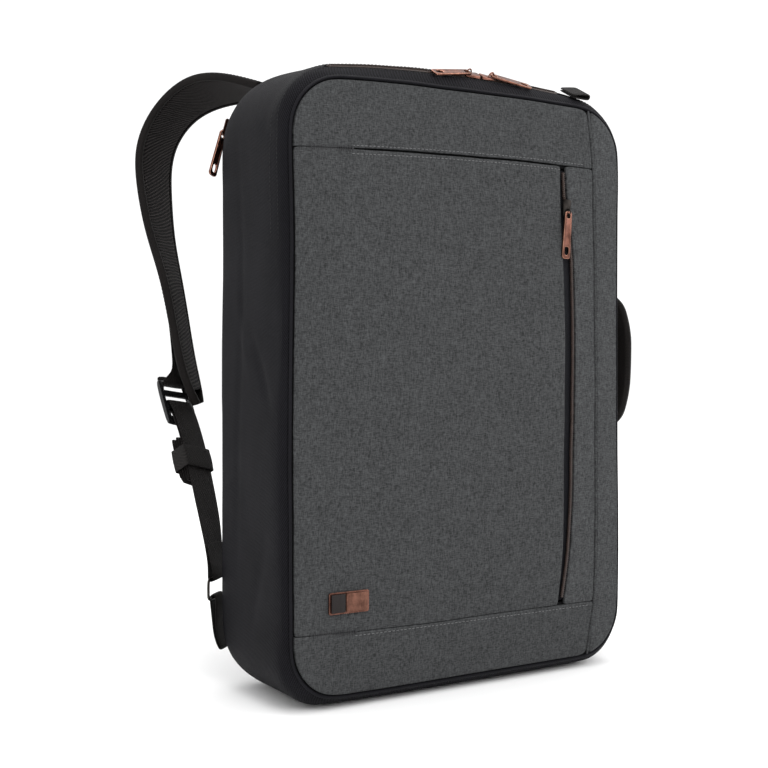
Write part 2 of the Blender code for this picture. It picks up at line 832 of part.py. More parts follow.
def make_slider_mesh():
    """A slider lying along X with the pull towards +X, its underside at Z = 0."""
    bm = bmesh.new()
    bmesh.ops.create_cube(bm, size=1.0)
    bmesh.ops.scale(bm, vec=(SLIDER_LENGTH, SLIDER_WIDTH, SLIDER_THICK), verts=bm.verts)
    bmesh.ops.translate(bm, vec=(0.0, 0.0, SLIDER_THICK / 2), verts=bm.verts)
    for vert in bm.verts:
        if vert.co.x > 0:
            vert.co.y *= 0.72
        if vert.co.z > SLIDER_THICK / 2:
            vert.co.y *= 0.8
            vert.co.z = SLIDER_NOSE if vert.co.x > 0 else SLIDER_THICK
    standing = [e for e in bm.edges if abs(e.verts[0].co.x - e.verts[1].co.x) < SLIDER_NOSE / 2]
    standing = [e for e in standing if abs(e.verts[0].co.z - e.verts[1].co.z) > SLIDER_NOSE / 2]
    bmesh.ops.bevel(
        bm, geom=standing, offset=0.0016, segments=2, profile=0.5, affect="EDGES", material=-1
    )
    body = add("slider guide", to_mesh(bm, "slider"), None, guides)
    arch = []
    for k in range(7):
        angle = math.radians(180 * k / 6)
        arch.append(Vector((
            BAIL_SHIFT + BAIL_RADIUS * math.cos(angle),
            0.0,
            SLIDER_THICK - BAIL_WIRE + (HINGE_HEIGHT + PULL_BAR + BAIL_WIRE) * 1.35 * math.sin(angle),
        )))
    bail = tube("bail guide", arch, BAIL_WIRE, None, sides=0)
    bag.objects.unlink(bail)
    solid = add("bail solid", baked(bail), None, guides)
    union = body.modifiers.new("Bail", "BOOLEAN")
    union.operation = "UNION"
    union.object = solid
    mesh = baked(body)
    for guide in (bail, solid, body):
        bpy.data.objects.remove(guide, do_unlink=True)
    return mesh


def make_pull_mesh():
    """A pull with its hinge bar's middle at the origin, lying along +X."""
    start = -PULL_BAR / 2
    end = start + PULL_LENGTH
    waist = 0.80
    edge = []
    for x, y in rounded(PULL_LENGTH, PULL_WIDTH, PULL_WIDTH * 0.30, 3, ((start + end) / 2, 0.0)):
        edge.append((x, y * mix(waist, 1.0, (x - start) / PULL_LENGTH)))
    mouth = rounded(BAIL_RADIUS + 0.0016, PULL_MOUTH * 0.8, 0.0006, 1,
                    (PULL_BAR / 2 + (BAIL_RADIUS + 0.0016) / 2, 0.0))
    hole = rounded(0.0065, PULL_WIDTH * 0.5, PULL_WIDTH * 0.2, 2, (end - 0.0060, 0.0))
    return flat_outline("pull guide", [edge, mouth, hole], PULL_THICK)


def frame_matrix(place, along, normal):
    along = along.normalized()
    normal = (normal - along * normal.dot(along)).normalized()
    across = normal.cross(along)
    axes = Matrix((along, across, normal)).transposed().to_4x4()
    return Matrix.Translation(place) @ axes


def hang_slider(name, place, along, normal, tilt, swing=0.0):
    """A slider whose underside is at place, and its pull."""
    where = frame_matrix(place, along, normal)
    slider = add(name + "_slider", slider_mesh.copy(), "copper")
    slider.matrix_world = where
    hinge = where @ Matrix.Translation((BAIL_SHIFT, 0.0, SLIDER_THICK + HINGE_HEIGHT))
    pull = add(name + "_pull", pull_mesh.copy(), "copper")
    turned = Matrix.Rotation(math.radians(swing), 4, "Z") @ Matrix.Rotation(math.radians(tilt), 4, "Y")
    pull.matrix_world = hinge @ turned


def along_for_x(x, depth):
    """The place along the top, in steps, whose X is x."""
    low, high = MAIN_RUN
    for _ in range(40):
        middle = (low + high) / 2
        if gusset_point(middle, depth).x > x:
            low = middle
        else:
            high = middle
    return (low + high) / 2


def make_sliders():
    lift = 3 * GAP + COIL_HEIGHT - TAPE_SUNK
    middle = sum(MAIN_EDGES) / 2
    for side, x, way in (("left", MAIN_SLIDER_LEFT, 1), ("right", MAIN_SLIDER_RIGHT, -1)):
        at = along_for_x(x, middle)
        _, round_way, _, normal = gusset_frame(at, middle)
        place = lifted(at, middle, lift)
        hang_slider(
            "main_zip_" + side, place, round_way * way, normal, PULL_TILT, PULL_SWING * way
        )
    at = steps_before("high left") + BACK_SLIDER_SHARE * dict(PERIMETER)["high left"]
    middle = sum(BACK_EDGES) / 2
    _, round_way, _, normal = gusset_frame(at, middle)
    hang_slider("back_zip", lifted(at, middle, lift), round_way, normal, BACK_PULL_TILT)
    x = zip_line(FRONT_SLIDER_HEIGHT)[0]
    y = front_face(x, FRONT_SLIDER_HEIGHT) + PANEL_THICK - 2 * FRONT_COIL_RADIUS - GAP
    place = Vector((x, y, FRONT_SLIDER_HEIGHT))
    down = Vector((x - zip_line(FRONT_SLIDER_HEIGHT + 0.03)[0] - 0.004, 0.0, -0.03))
    hang_slider("front_zip", place, down, Vector((0.0, -1.0, 0.0)), FRONT_PULL_TILT)


# Back panel, yoke and straps


def make_back():
    """Padded back panel with two columns of cushions, and the yoke on top of it."""
    section = section_at(1.0)
    lap = BACK_RIM
    half, radius = section["half"] + lap, section["radius"] + lap
    low, high = section["low"] - lap, section["high"] + lap
    arc = [(1 - math.cos(math.radians(90 * k / 4))) * radius for k in range(5)]
    inner = [CHANNEL * 0.5, CHANNEL * 0.9, half - radius * 0.9]
    xs = [-half + step for step in arc] + [-x for x in inner[1::-1]] + inner[:2]
    xs += [half - step for step in arc[::-1]]
    rows, over_yoke = 12, 2
    near = FRONT + BODY_DEPTH + GAP

    def ends(x):
        over = min(max(0.0, abs(x) - (half - radius)), radius)
        drop = radius - math.sqrt(max(0.0, radius**2 - over**2))
        bow = section["crown"] * (1 - (x / half) ** 2)
        return low + drop, high - drop + bow

    def place(i, j):
        start, stop = ends(xs[i])
        shelf = min(stop - 0.002, YOKE_PLACE - YOKE_HEIGHT / 2 - 0.003)
        share = (j - rows + over_yoke) / over_yoke
        z = mix(shelf, stop, share) if share > 0 else mix(start, shelf, j / (rows - over_yoke))
        return Vector((xs[i], near, z))

    def cushion(x, z):
        wide = half - radius * 0.45
        across = min(1.0, max(0.0, (wide - abs(x)) / 0.012))
        middle = min(1.0, max(0.0, (abs(x) - CHANNEL * 0.55) / 0.008))
        tall = min(1.0, max(0.0, (z - low - 0.05) / 0.012, 0.0))
        top = min(1.0, max(0.0, (YOKE_PLACE - YOKE_HEIGHT / 2 - 0.004 - z) / 0.012))
        groove = 1 - 0.45 * math.exp(-((((z - low) % 0.085) - 0.0425) / 0.012) ** 2)
        return BACK_CUSHION * across * middle * min(tall, top) * groove

    bm = mapped_grid(len(xs) - 1, rows, place)
    grown = bmesh.ops.extrude_face_region(bm, geom=bm.faces[:])
    for vert in (item for item in grown["geom"] if isinstance(item, bmesh.types.BMVert)):
        vert.co.y += BACK_WALL + cushion(vert.co.x, vert.co.z)
    bmesh.ops.recalc_face_normals(bm, faces=bm.faces)
    add("back_panel", to_mesh(bm, "back_panel"), "spacer mesh")

    bm = bmesh.new()
    bmesh.ops.create_cube(bm, size=1.0)
    bmesh.ops.scale(bm, vec=(YOKE_WIDTH, YOKE_THICK, YOKE_HEIGHT), verts=bm.verts)
    y = near + BACK_WALL + GAP + YOKE_THICK / 2
    bmesh.ops.translate(bm, vec=(0.0, y, YOKE_PLACE), verts=bm.verts)
    through = [e for e in bm.edges if abs(e.verts[0].co.y - e.verts[1].co.y) > YOKE_THICK / 2]
    bmesh.ops.bevel(
        bm, geom=through, offset=0.006, segments=3, profile=0.5, affect="EDGES", material=-1
    )
    add("strap_yoke", to_mesh(bm, "strap_yoke"), "webbing")


YOKE_FACE = FRONT + BODY_DEPTH + GAP + BACK_WALL + GAP + YOKE_THICK


def strap_frame(along):
    """Middle of the left strap, way along it, way across and outward way."""
    out, back, up, turn, tilt, width = blend_rows(STRAP_ROWS, along)
    start = Vector((-STRAP_ANCHOR, YOKE_FACE + GAP + ROOT_THICK * 0.4, STRAP_TOP))
    place = start + Vector((-out * STRAP_SPREAD, back * STRAP_REACH, up * STRAP_DROP))
    turn, tilt = math.radians(turn), math.radians(tilt)
    across = Vector((
        math.cos(turn) * math.cos(tilt),
        math.sin(turn) * math.cos(tilt),
        -math.sin(tilt),
    ))
    return place, across, width * STRAP_WIDTH / 2


def swept_frame(frame, along):
    step = 0.004
    place, across, half = frame(along)
    way = frame(min(1.0, along + step))[0] - frame(max(0.0, along - step))[0]
    way.normalize()
    outward = across.cross(way).normalized()
    return place, way, across, outward, half


def strap_ring(along, contour, tip=True, thick=STRAP_THICK):
    place, _, across, outward, half = swept_frame(strap_frame, along)
    if tip:
        half *= blend_rows(TIP_ROWS, along)[0]
    return [place + across * w + outward * t for w, t in contour(half, thick / 2)]


def cover_contour(a, h):
    """The cover's section: outer face, round edges and lips over the mesh."""
    wall, lip = COVER_WALL, COVER_LIP
    right = [
        (a - 0.0018, h), (a, h - 0.0016), (a, 0.0012 - h), (a - 0.0010, -h), (a - lip, -h),
        (a - lip, wall - h), (a - wall, wall - h), (a - wall, h - wall),
    ]
    return right + [(-w, t) for w, t in right[::-1]]


def mesh_contour(a, h):
    """The spacer mesh's section: it fills the cover and bulges between its lips."""
    side = a - COVER_WALL - 2 * GAP
    lip = a - COVER_LIP - 3 * GAP
    floor = COVER_WALL + 2 * GAP - h
    roof = h - COVER_WALL - 2 * GAP
    right = [
        (side, roof), (side, floor), (lip, floor),
        (lip - 0.0006, 0.0002 - h),
    ]
    return right + [(0.0, -h - 0.0004)] + [(-w, t) for w, t in right[::-1]]


def plain_contour(a, h):
    return [(a, h), (a, -h), (-a, -h), (-a, h)]


ROOT_END = 0.085


def ribbon(name, rows, width, thick, look):
    """Webbing through rows of (place, way across, outward way)."""
    rings = []
    for place, across, outward in rows:
        rings.append([
            place + across * (sx * width / 2) + outward * (sy * thick / 2)
            for sx, sy in ((1, 1), (1, -1), (-1, -1), (-1, 1))
        ])
    return loft(name, rings, look)


def web_frame(along):
    out, back, up, turn = blend_rows(WEB_ROWS, along)
    start = Vector((-STRAP_ANCHOR, YOKE_FACE + GAP + ROOT_THICK * 0.4, STRAP_TOP))
    place = start + Vector((-out * STRAP_SPREAD, back * STRAP_REACH, up * STRAP_DROP))
    across = Vector((math.cos(math.radians(turn)), math.sin(math.radians(turn)), 0.0))
    return place, across, WEBBING / 2


def web_sweep(along):
    """As swept_frame for the lower webbing, square across it above its lower end."""
    place, way, across, outward, _ = swept_frame(web_frame, along)
    square = min(1.0, max(0.0, (0.85 - along) / 0.3))
    across = (across - way * (across.dot(way) * square)).normalized()
    return place, way, across, outward


def hairpin(place, across, outward, way, radius, steps=4):
    """Rows round half a turn of webbing, from the outward side of place round its
    end on the way's side to the inward side."""
    rows = []
    for k in range(steps + 1):
        angle = math.radians(180 * k / steps)
        off = outward * math.cos(angle) + way * math.sin(angle)
        rows.append((place + off * radius, across, off))
    return rows


def make_pad():
    stops = [mix(ROOT_END + 0.0008, 0.90, k / 14) for k in range(15)] + [0.94, 0.975, 1.0]
    cover = [strap_ring(stop, cover_contour) for stop in stops]
    mesh = [strap_ring(stop, mesh_contour) for stop in stops[:-1]]
    stops = [mix(0.0, ROOT_END, k / 3) for k in range(4)]
    root = [strap_ring(stop, plain_contour, False, ROOT_THICK) for stop in stops]
    return [
        loft("strap_left_cover", cover, "webbing"),
        loft("strap_left_mesh", mesh, "spacer mesh"),
        loft("strap_left_root", root, "root fabric"),
    ]


def buckle_frame():
    """Middle of the buckle, the way down it, the way across and the outward way."""
    place, way, across, outward = web_sweep(0.0)
    middle = place + outward * (3 * WEBBING_THICK + GAP + BUCKLE_THICK / 2)
    return middle - way * (BUCKLE_LENGTH * 0.40), way, across, outward


def at_buckle(down, off):
    middle, way, _, outward = buckle_frame()
    return middle + way * (down * BUCKLE_LENGTH) + outward * off


# Openings of the buckle: middle and length as shares of BUCKLE_LENGTH
BUCKLE_SLOTS = ((-0.35, 0.15), (-0.07, 0.14), (0.22, 0.15))


def make_buckle():
    outlines = [rounded(BUCKLE_LENGTH, BUCKLE_WIDTH, 0.003, 2)]
    for middle, length in BUCKLE_SLOTS:
        outlines.append(rounded(
            length * BUCKLE_LENGTH, WEBBING + 0.0016, 0.0006, 1, (middle * BUCKLE_LENGTH, 0.0)
        ))
    mesh = flat_outline("buckle guide", outlines, BUCKLE_THICK)
    middle, way, _, outward = buckle_frame()
    mesh.transform(frame_matrix(middle, way, outward))
    return add("strap_left_buckle", mesh, "moulded plastic")


def make_upper_webbing():
    """Webbing sewn on the pad's outer face and round the buckle's top bar."""
    rows = []
    for share, lift in ((0.79, 0.0009), (0.82, 0.0009), (0.85, 0.0010), (0.89, 0.0020), (0.93, 0.0045)):
        spot, _, wide, out, _ = swept_frame(strap_frame, share)
        rows.append((spot + out * (STRAP_THICK / 2 + WEBBING_THICK / 2 + lift), wide, out))
    _, way, across, outward = buckle_frame()
    bar_end = BUCKLE_SLOTS[0][0] - BUCKLE_SLOTS[0][1] / 2
    bar = at_buckle((bar_end - 0.5) / 2, 0.0)
    reach = math.hypot((bar_end + 0.5) / 2 * BUCKLE_LENGTH, BUCKLE_THICK / 2)
    loop = reach + GAP + WEBBING_THICK / 2
    rows += [(place, wide, -off) for place, wide, off in hairpin(bar, across, -outward, way, loop)]
    rows.append((at_buckle(-0.64, loop * 0.85), across, -outward))
    return ribbon("strap_left_upper_webbing", rows, WEBBING, WEBBING_THICK, "webbing")


# Path of the lower webbing through the buckle: down as a share of BUCKLE_LENGTH, and
# out from the buckle's middle plane as a share of BUCKLE_THICK
THREAD_ROWS = (
    (0.200, -1.65),
    (0.100, -1.25),
    (0.030, -0.98),
    (-0.020, -0.82),
    (-0.036, -0.45),
    (-0.036, 0.45),
    (-0.020, 0.82),
    (0.020, 0.92),
    (0.125, 0.92),
    (0.165, 0.82),
    (0.182, 0.45),
    (0.190, 0.00),
    (0.250, -0.50),
    (0.275, -0.84),
    (0.330, -0.94),
    (0.450, -0.96),
)


def web_row(share, off, face=1):
    spot, _, wide, out = web_sweep(share)
    return spot + out * off, wide, out * face


def ring_bar():
    """Middle of the ring's top bar."""
    end, way, across, outward = web_sweep(1.0)
    return end + way * (RING_WIRE + GAP), way, across, outward


def make_lower_webbing():
    """Webbing from the ring up to the buckle, over its bar and down again to the
    rolled-up free end."""
    ply = WEBBING_THICK + GAP
    bar, way, wide, out = ring_bar()
    loop = RING_WIRE + GAP + WEBBING_THICK / 2
    rows = [web_row(0.80, -ply), web_row(0.90, -ply), web_row(0.96, -ply - 0.0008)]
    rows += [(place, across, -off) for place, across, off in hairpin(bar, wide, -out, way, loop)]
    rows += [web_row(mix(0.93, 0.06, k / 7), 0.0, -1) for k in range(8)]
    _, _, across, _ = buckle_frame()
    path = [at_buckle(down, off * BUCKLE_THICK) for down, off in THREAD_ROWS]
    for k, place in enumerate(path):
        run = path[min(len(path) - 1, k + 1)] - path[max(0, k - 1)]
        rows.append((place, across, across.cross(run).normalized()))
    rows += [web_row(mix(0.07, ROLL_LOW, k / 3), mix(ply, ROLL_PITCH, k / 3)) for k in range(4)]
    ends = (ROLL_LOW, ROLL_TOP)
    for fold in range(ROLL_FOLDS):
        off = ROLL_PITCH * (fold + 1)
        sign = 1 if fold % 2 == 0 else -1
        spot, down, wide, out = web_sweep(ends[fold % 2])
        middle = spot + out * (off + ROLL_PITCH / 2)
        for place, across, away in hairpin(middle, wide, -out, down * sign, ROLL_PITCH / 2, 2)[1:-1]:
            rows.append((place, across, -away * sign))
        for k in range(3):
            share = mix(ends[fold % 2], ends[(fold + 1) % 2], k / 2)
            rows.append(web_row(share, off + ROLL_PITCH, -sign))
    return ribbon("strap_left_lower_webbing", rows, WEBBING, WEBBING_THICK, "webbing")


def make_keeper():
    """Elastic band round the rolled end."""
    low = -WEBBING_THICK / 2 - 3 * GAP
    high = ROLL_PITCH * (ROLL_FOLDS + 1) + WEBBING_THICK / 2 + 3 * GAP
    wide, tall = WEBBING + 6 * GAP, high - low
    outlines = [
        rounded(wide + 2 * KEEPER_WALL, tall + 2 * KEEPER_WALL, 0.0016, 2),
        rounded(wide, tall, 0.0006, 2),
    ]
    mesh = flat_outline("keeper guide", outlines, KEEPER_HEIGHT)
    centre, across, _ = web_row((ROLL_TOP + ROLL_LOW) / 2, (low + high) / 2)
    way = web_row(ROLL_LOW, 0.0)[0] - web_row(ROLL_TOP, 0.0)[0]
    out = across.cross(way).normalized()
    across = way.cross(out).normalized()
    axes = Matrix((across, out, across.cross(out))).transposed().to_4x4()
    mesh.transform(Matrix.Translation(centre) @ axes)
    return add("strap_left_keeper", mesh, "webbing")


def make_ring():
    bar, _, across, _ = ring_bar()
    half = RING_HEIGHT / 2 - RING_WIRE
    points = []
    for u, v in rounded(RING_WIDTH, 2 * half, RING_CORNER, 3):
        points.append(bar + across * u + Vector((0.0, 0.0, v - half)))
    return tube("strap_left_ring", points, RING_WIRE, "moulded plastic", cyclic=True, sides=0)


def make_anchor():
    """Webbing from the bag's back corner round the ring's low bar."""
    turn = math.radians(ANCHOR_TURN)
    wide = Vector((math.cos(turn), math.sin(turn), 0.0))
    flat = Vector((-math.sin(turn), math.cos(turn), 0.0))
    ply = WEBBING_THICK + 3 * GAP
    rows = []
    for k in range(4):
        angle = math.radians(mix(30, 0, k / 3))
        step = steps_before("low left") + dict(PERIMETER)["low left"] * math.degrees(angle) / 90
        off = flat * math.cos(angle) - Vector((0.0, 0.0, math.sin(angle)))
        spot = gusset_point(step, 0.95) + off * (ANCHOR_LIFT + WEBBING_THICK / 2)
        rows.append((spot, wide, off))
    bar, _, _, _ = ring_bar()
    low_bar = bar - Vector((0.0, 0.0, RING_HEIGHT - 2 * RING_WIRE))
    loop = RING_WIRE + GAP + WEBBING_THICK / 2
    turned = hairpin(low_bar, wide, -flat, Vector((0.0, 0.0, 1.0)), loop)
    outer = [(place + off * ply, wide, -off) for place, wide, off in rows[::-1]]
    rows += [(place, across, -off) for place, across, off in turned] + outer
    return ribbon("strap_left_anchor", rows, ANCHOR_WIDTH, WEBBING_THICK, "webbing")


def make_straps():
    """All pieces of the left strap; the right strap mirrors them."""
    made = make_pad()
    made.append(make_buckle())
    made.append(make_upper_webbing())
    made.append(make_lower_webbing())
    made.append(make_keeper())
    made.append(make_ring())
    made.append(make_anchor())
    return made


def mirror_piece(piece, name):
    mesh = baked(piece)
    bm = bmesh.new()
    bm.from_mesh(mesh)
    bmesh.ops.scale(bm, vec=(-1.0, 1.0, 1.0), verts=bm.verts)
    bmesh.ops.reverse_faces(bm, faces=bm.faces)
    bm.to_mesh(mesh)
    bm.free()
    mesh.materials.clear()
    look = piece.data.materials[0].name.split(".")[0]
    add(name, mesh, look)


# Side handle, corner loop and plate


def handle_frame(along):
    out, thick = blend_rows(HANDLE_ROWS, along)
    depth = HANDLE_DEPTH / BODY_DEPTH
    z = HANDLE_HEIGHT + (along - 0.5) * HANDLE_LENGTH
    section = section_at(depth)
    x = section["half"] + out * HANDLE_REACH
    return Vector((x, FRONT + HANDLE_DEPTH, z)), thick


def make_handle():
    """A padded grip between two webbing ends that are sewn to the right side."""
    across = Vector((0.0, 1.0, 0.0))

    def row(along):
        place, thick = handle_frame(along)
        way = handle_frame(min(1.0, along + 0.01))[0] - handle_frame(max(0.0, along - 0.01))[0]
        outward = Vector((way.z, 0.0, -way.x)).normalized()
        return place, outward, thick * HANDLE_THICK

    rings = []
    for k in range(13):
        place, outward, thick = row(mix(0.235, 0.765, k / 12))
        end = min(1.0, 0.55 + 0.45 * math.sin(math.pi * min(1.0, k * 2, (12 - k) * 2) / 2))
        ring = []
        for step in range(10):
            angle = math.radians(36 * step)
            w = math.copysign(abs(math.cos(angle)) ** 0.6, math.cos(angle)) * HANDLE_WIDTH / 2
            t = math.copysign(abs(math.sin(angle)) ** 0.75, math.sin(angle)) * thick / 2
            ring.append(place + across * w * end + outward * t * end)
        rings.append(ring)
    loft("side_handle_grip", rings, "webbing")
    for name, start, stop in (("low", 0.0, 0.231), ("high", 1.0, 0.769)):
        rows = []
        for k in range(7):
            place, outward, _ = row(mix(start, stop, k / 6))
            lift = HANDLE_WEBBING / 2 + GAP + DENT * 0.2
            rows.append((place + Vector((lift, 0.0, 0.0)), across, outward))
        ribbon("side_handle_anchor_" + name, rows, WEBBING, HANDLE_WEBBING, "webbing")


def make_corner_loop():
    """Webbing folded into a flat loop over the top zip's right end."""
    depth = sum(MAIN_EDGES) / 2
    at = along_for_x(LOOP_PLACE, depth)
    root, round_way, _, normal = gusset_frame(at, depth)
    out = (Vector((0.0, 0.0, LOOP_SLOPE)) - round_way).normalized()
    across = out.cross(normal).normalized()
    up = across.cross(out).normalized()
    base = root + normal * (2 * GAP + LOOP_PLY / 2)
    half = (LOOP_HEIGHT - LOOP_PLY) / 2
    upper = base + up * (LOOP_PLY + GAP)
    tip = base + out * (LOOP_LENGTH - half) + up * half
    rows = [(upper, across, up)]
    rows.append((upper + out * LOOP_LENGTH * 0.5 + up * (half * 0.8), across, up))
    rows += hairpin(tip, across, up, out, half)
    rows.append((base + out * LOOP_LENGTH * 0.5, across, -up))
    rows.append((base, across, -up))
    ribbon("corner_loop", rows, LOOP_WIDTH, LOOP_PLY, "webbing")


def make_plate():
    """A small rimmed metal plate low on the front."""
    bm = bmesh.new()
    bmesh.ops.create_cube(bm, size=1.0)
    bmesh.ops.scale(bm, vec=(PLATE_WIDTH, PLATE_HEIGHT, PLATE_THICK), verts=bm.verts)
    standing = [e for e in bm.edges if abs(e.verts[0].co.z - e.verts[1].co.z) > PLATE_THICK / 2]
    bmesh.ops.bevel(
        bm, geom=standing, offset=0.0012, segments=2, profile=0.5, affect="EDGES", material=-1
    )
    bm.faces.ensure_lookup_table()
    top = [face for face in bm.faces if face.normal.z > 0.9]
    bmesh.ops.inset_region(bm, faces=top, thickness=0.0010, depth=0.0)
    bmesh.ops.inset_region(bm, faces=top, thickness=0.0002, depth=-0.0004)
    plate = add("badge_plate", to_mesh(bm, "badge_plate"), "copper")
    step = 0.004
    slope_x = (front_face(PLATE_X + step, PLATE_Z) - front_face(PLATE_X - step, PLATE_Z)) / (2 * step)
    slope_z = (front_face(PLATE_X, PLATE_Z + step) - front_face(PLATE_X, PLATE_Z - step)) / (2 * step)
    normal = Vector((slope_x, -1.0, slope_z)).normalized()
    place = Vector((PLATE_X, front_face(PLATE_X, PLATE_Z), PLATE_Z))
    place += normal * (PLATE_THICK / 2 + 2 * GAP)
    plate.matrix_world = frame_matrix(place, Vector((1.0, slope_x, 0.0)), normal)


make_gusset()
make_front()
make_backing()
make_front_trim()
make_slot_zip("main_zip", MAIN_RUN, MAIN_EDGES, COIL_WIDTH, 1.2)
make_slot_zip("back_zip", BACK_RUN, BACK_EDGES, BACK_COIL_WIDTH, 0.3)
slider_mesh = make_slider_mesh()
pull_mesh = make_pull_mesh()
make_sliders()
make_back()
bpy.context.view_layer.update()
for left_piece in make_straps():
    mirror_piece(left_piece, left_piece.name.replace("left", "right"))
make_handle()
make_corner_loop()
make_plate()
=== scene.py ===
"""Looks of a convertible backpack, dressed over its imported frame."""

import json
import math

import bmesh
import bpy
from mathutils import Matrix, Vector, noise
from mathutils.bvhtree import BVHTree

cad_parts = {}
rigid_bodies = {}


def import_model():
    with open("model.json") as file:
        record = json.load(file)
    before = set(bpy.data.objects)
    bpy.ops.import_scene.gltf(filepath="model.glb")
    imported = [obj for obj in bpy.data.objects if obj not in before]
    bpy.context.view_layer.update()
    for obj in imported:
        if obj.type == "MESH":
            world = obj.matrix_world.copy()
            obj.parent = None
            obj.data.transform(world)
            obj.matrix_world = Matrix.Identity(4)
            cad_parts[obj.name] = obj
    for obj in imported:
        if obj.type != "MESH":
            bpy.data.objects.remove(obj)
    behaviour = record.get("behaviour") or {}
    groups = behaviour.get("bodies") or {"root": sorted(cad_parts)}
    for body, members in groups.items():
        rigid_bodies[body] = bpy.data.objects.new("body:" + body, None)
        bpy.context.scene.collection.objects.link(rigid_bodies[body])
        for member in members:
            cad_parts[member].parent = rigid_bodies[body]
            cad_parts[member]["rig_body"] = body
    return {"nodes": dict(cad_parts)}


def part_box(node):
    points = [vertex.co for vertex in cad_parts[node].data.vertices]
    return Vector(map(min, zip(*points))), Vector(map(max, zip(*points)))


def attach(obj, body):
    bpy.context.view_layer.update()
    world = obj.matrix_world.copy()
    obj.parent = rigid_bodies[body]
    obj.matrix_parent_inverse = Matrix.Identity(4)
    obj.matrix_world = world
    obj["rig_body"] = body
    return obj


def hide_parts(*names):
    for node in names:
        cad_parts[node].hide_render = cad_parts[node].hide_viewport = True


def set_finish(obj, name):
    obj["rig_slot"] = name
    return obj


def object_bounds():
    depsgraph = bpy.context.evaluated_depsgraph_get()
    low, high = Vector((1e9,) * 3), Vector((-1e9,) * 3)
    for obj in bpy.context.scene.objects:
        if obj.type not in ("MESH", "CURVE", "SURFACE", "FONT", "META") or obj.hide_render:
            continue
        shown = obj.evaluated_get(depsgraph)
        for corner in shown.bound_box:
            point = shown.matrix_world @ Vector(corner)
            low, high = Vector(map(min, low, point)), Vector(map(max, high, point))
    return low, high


bl_info = {
    "name": "Convertible backpack looks",
    "version": (1, 0, 0),
    "blender": (4, 5, 0),
    "location": "3D View > Sidebar > Backpack",
    "description": "Fabric, seams, zips and studio for a convertible backpack",
    "category": "Object",
}

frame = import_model()
CAD_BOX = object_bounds()
LOW = CAD_BOX[0]

# Fine geometry
CREASE = 0.45  # keeps a sewn edge for two of three subdivisions
SHARP = 38.0  # degrees
SUBDIVISIONS = 3
METAL_EDGE = 0.00022
PLATE_EDGE = 0.0003
BODY_MIDDLE = 0.22  # height that the gusset's weave and seams turn round
RIM_RADIUS = 0.28  # corner radius of the front's rim, as a share of its half width

# Soft hang of the body's fabric
HANG_WIDE = (0.0011, 9.0)  # depth, and folds per metre
HANG_FINE = (0.00035, 34.0)
HANG_SEED = 1  # one fixed draw of the folds, because 0 would draw by the clock
CALM = 0.022  # the cloth lies still this near to a hard piece
CREASE_LINE = (0.016, 0.0050, 0.0010)  # its Y, half width and depth on the left side
CREASE_SPAN = (0.24, 0.17)  # its middle height and half length
LEFT_SIDE = -0.12  # X past which the left side's folds begin
FRONT_EDGE = -0.045  # Y that parts the front's folds from the side's
FOOT = 0.05  # the cloth stands firm on the floor below this height
# Soft folds of the front and of the left side: middle's X or Y, its Z, turn in
# degrees, half length, half width and depth, which is below zero for a ridge
FRONT_FOLDS = (
    (0.012, 0.402, 86, 0.016, 0.0050, 0.0012),
    (0.027, 0.400, 80, 0.015, 0.0050, -0.0010),
    (-0.007, 0.405, 88, 0.015, 0.0055, 0.0009),
    (-0.060, 0.404, 84, 0.013, 0.0060, 0.0008),
    (0.079, 0.343, 68, 0.022, 0.0090, 0.0013),
    (0.062, 0.330, 50, 0.020, 0.0080, 0.0007),
    (0.128, 0.418, -50, 0.014, 0.0050, -0.0008),
    (0.060, 0.120, 60, 0.030, 0.0100, 0.0008),
    (-0.080, 0.250, 80, 0.050, 0.0140, 0.0008),
)
SIDE_FOLDS = (
    (-0.020, 0.235, 60, 0.032, 0.0055, 0.0014),
    (0.006, 0.250, 66, 0.028, 0.0050, -0.0008),
    (-0.028, 0.400, 40, 0.020, 0.0060, 0.0010),
    (-0.015, 0.080, 110, 0.030, 0.0070, 0.0010),
)
PIPING_FILL = 0.0004
BACKING_REACH = 0.0016
ROLLED = 0.009  # the front's outer rim is soft this far in
ROLLED_CREASE = 0.34
SEWN_CREASE = 0.85

# Swelling of the padded pieces: pressure, and the most that a point may move
BACK_SWELL = (3.0, 0.004)
STRAP_SWELL = (2.0, 0.0016)
GRIP_SWELL = (3.0, 0.0015)
BACK_RIM = 0.010  # sewn down this far in from the panel's edge
GRIP_END = 0.012  # sewn down this far from each end
STRAP_SEWN = (0.018, 0.035)  # held past this far off the middle, and before this far along
WEB_CREASE = 0.25
KEEPER_CREASE = 0.12
BUCKLE_CREASE = 0.3

# Front seams
SLIT_LIFT = 0.0008
SLIT_BOW = 0.0035
SLIT_STITCH_OVER = 0.0022
SLIT_STITCH_UNDER = 0.0035
SLIT_ENDS = (-0.100, 0.098)
SLIT_TACK = (-0.133, -0.1005)
LOW_TACK = (-0.131, -0.098)
TACK_HEIGHT = 0.0048
TACK_THREAD = 0.00075
TACK_PITCH = 0.0014
TACK_END = (1.15, 0.0011)  # share of the tack's height, and its end thread's thickness
SEAM_STITCH = 0.0028
SEAM_END = 0.113
SEAM_GAP = 0.0012  # a stitch bridges an open seam by looking this far up and down
ZIP_SEAM = 0.0016  # from the main zip's tape to its stitches
ZIP_SEAM_ARC = 56  # degrees to each side of the top
FRONT_SKIN = -0.055  # the front's faces all lie before this Y

# Zip teeth
FRONT_TEETH = (0.0015, 0.0007)  # pitch and depth
TEETH_WIDTHS = {"main_zip_coil": 0.0044, "back_zip_coil": 0.0015}
TOOTH = 0.0013
TOOTH_PITCH = 0.0016
TEETH_ARC = 80  # degrees to each side of the top

# Plate
FIELD_MARGIN = 0.0012
FIELD_SPLIT = 0.40  # share of the plate's width at its upright bar
FIELD_LIFT = 0.00025

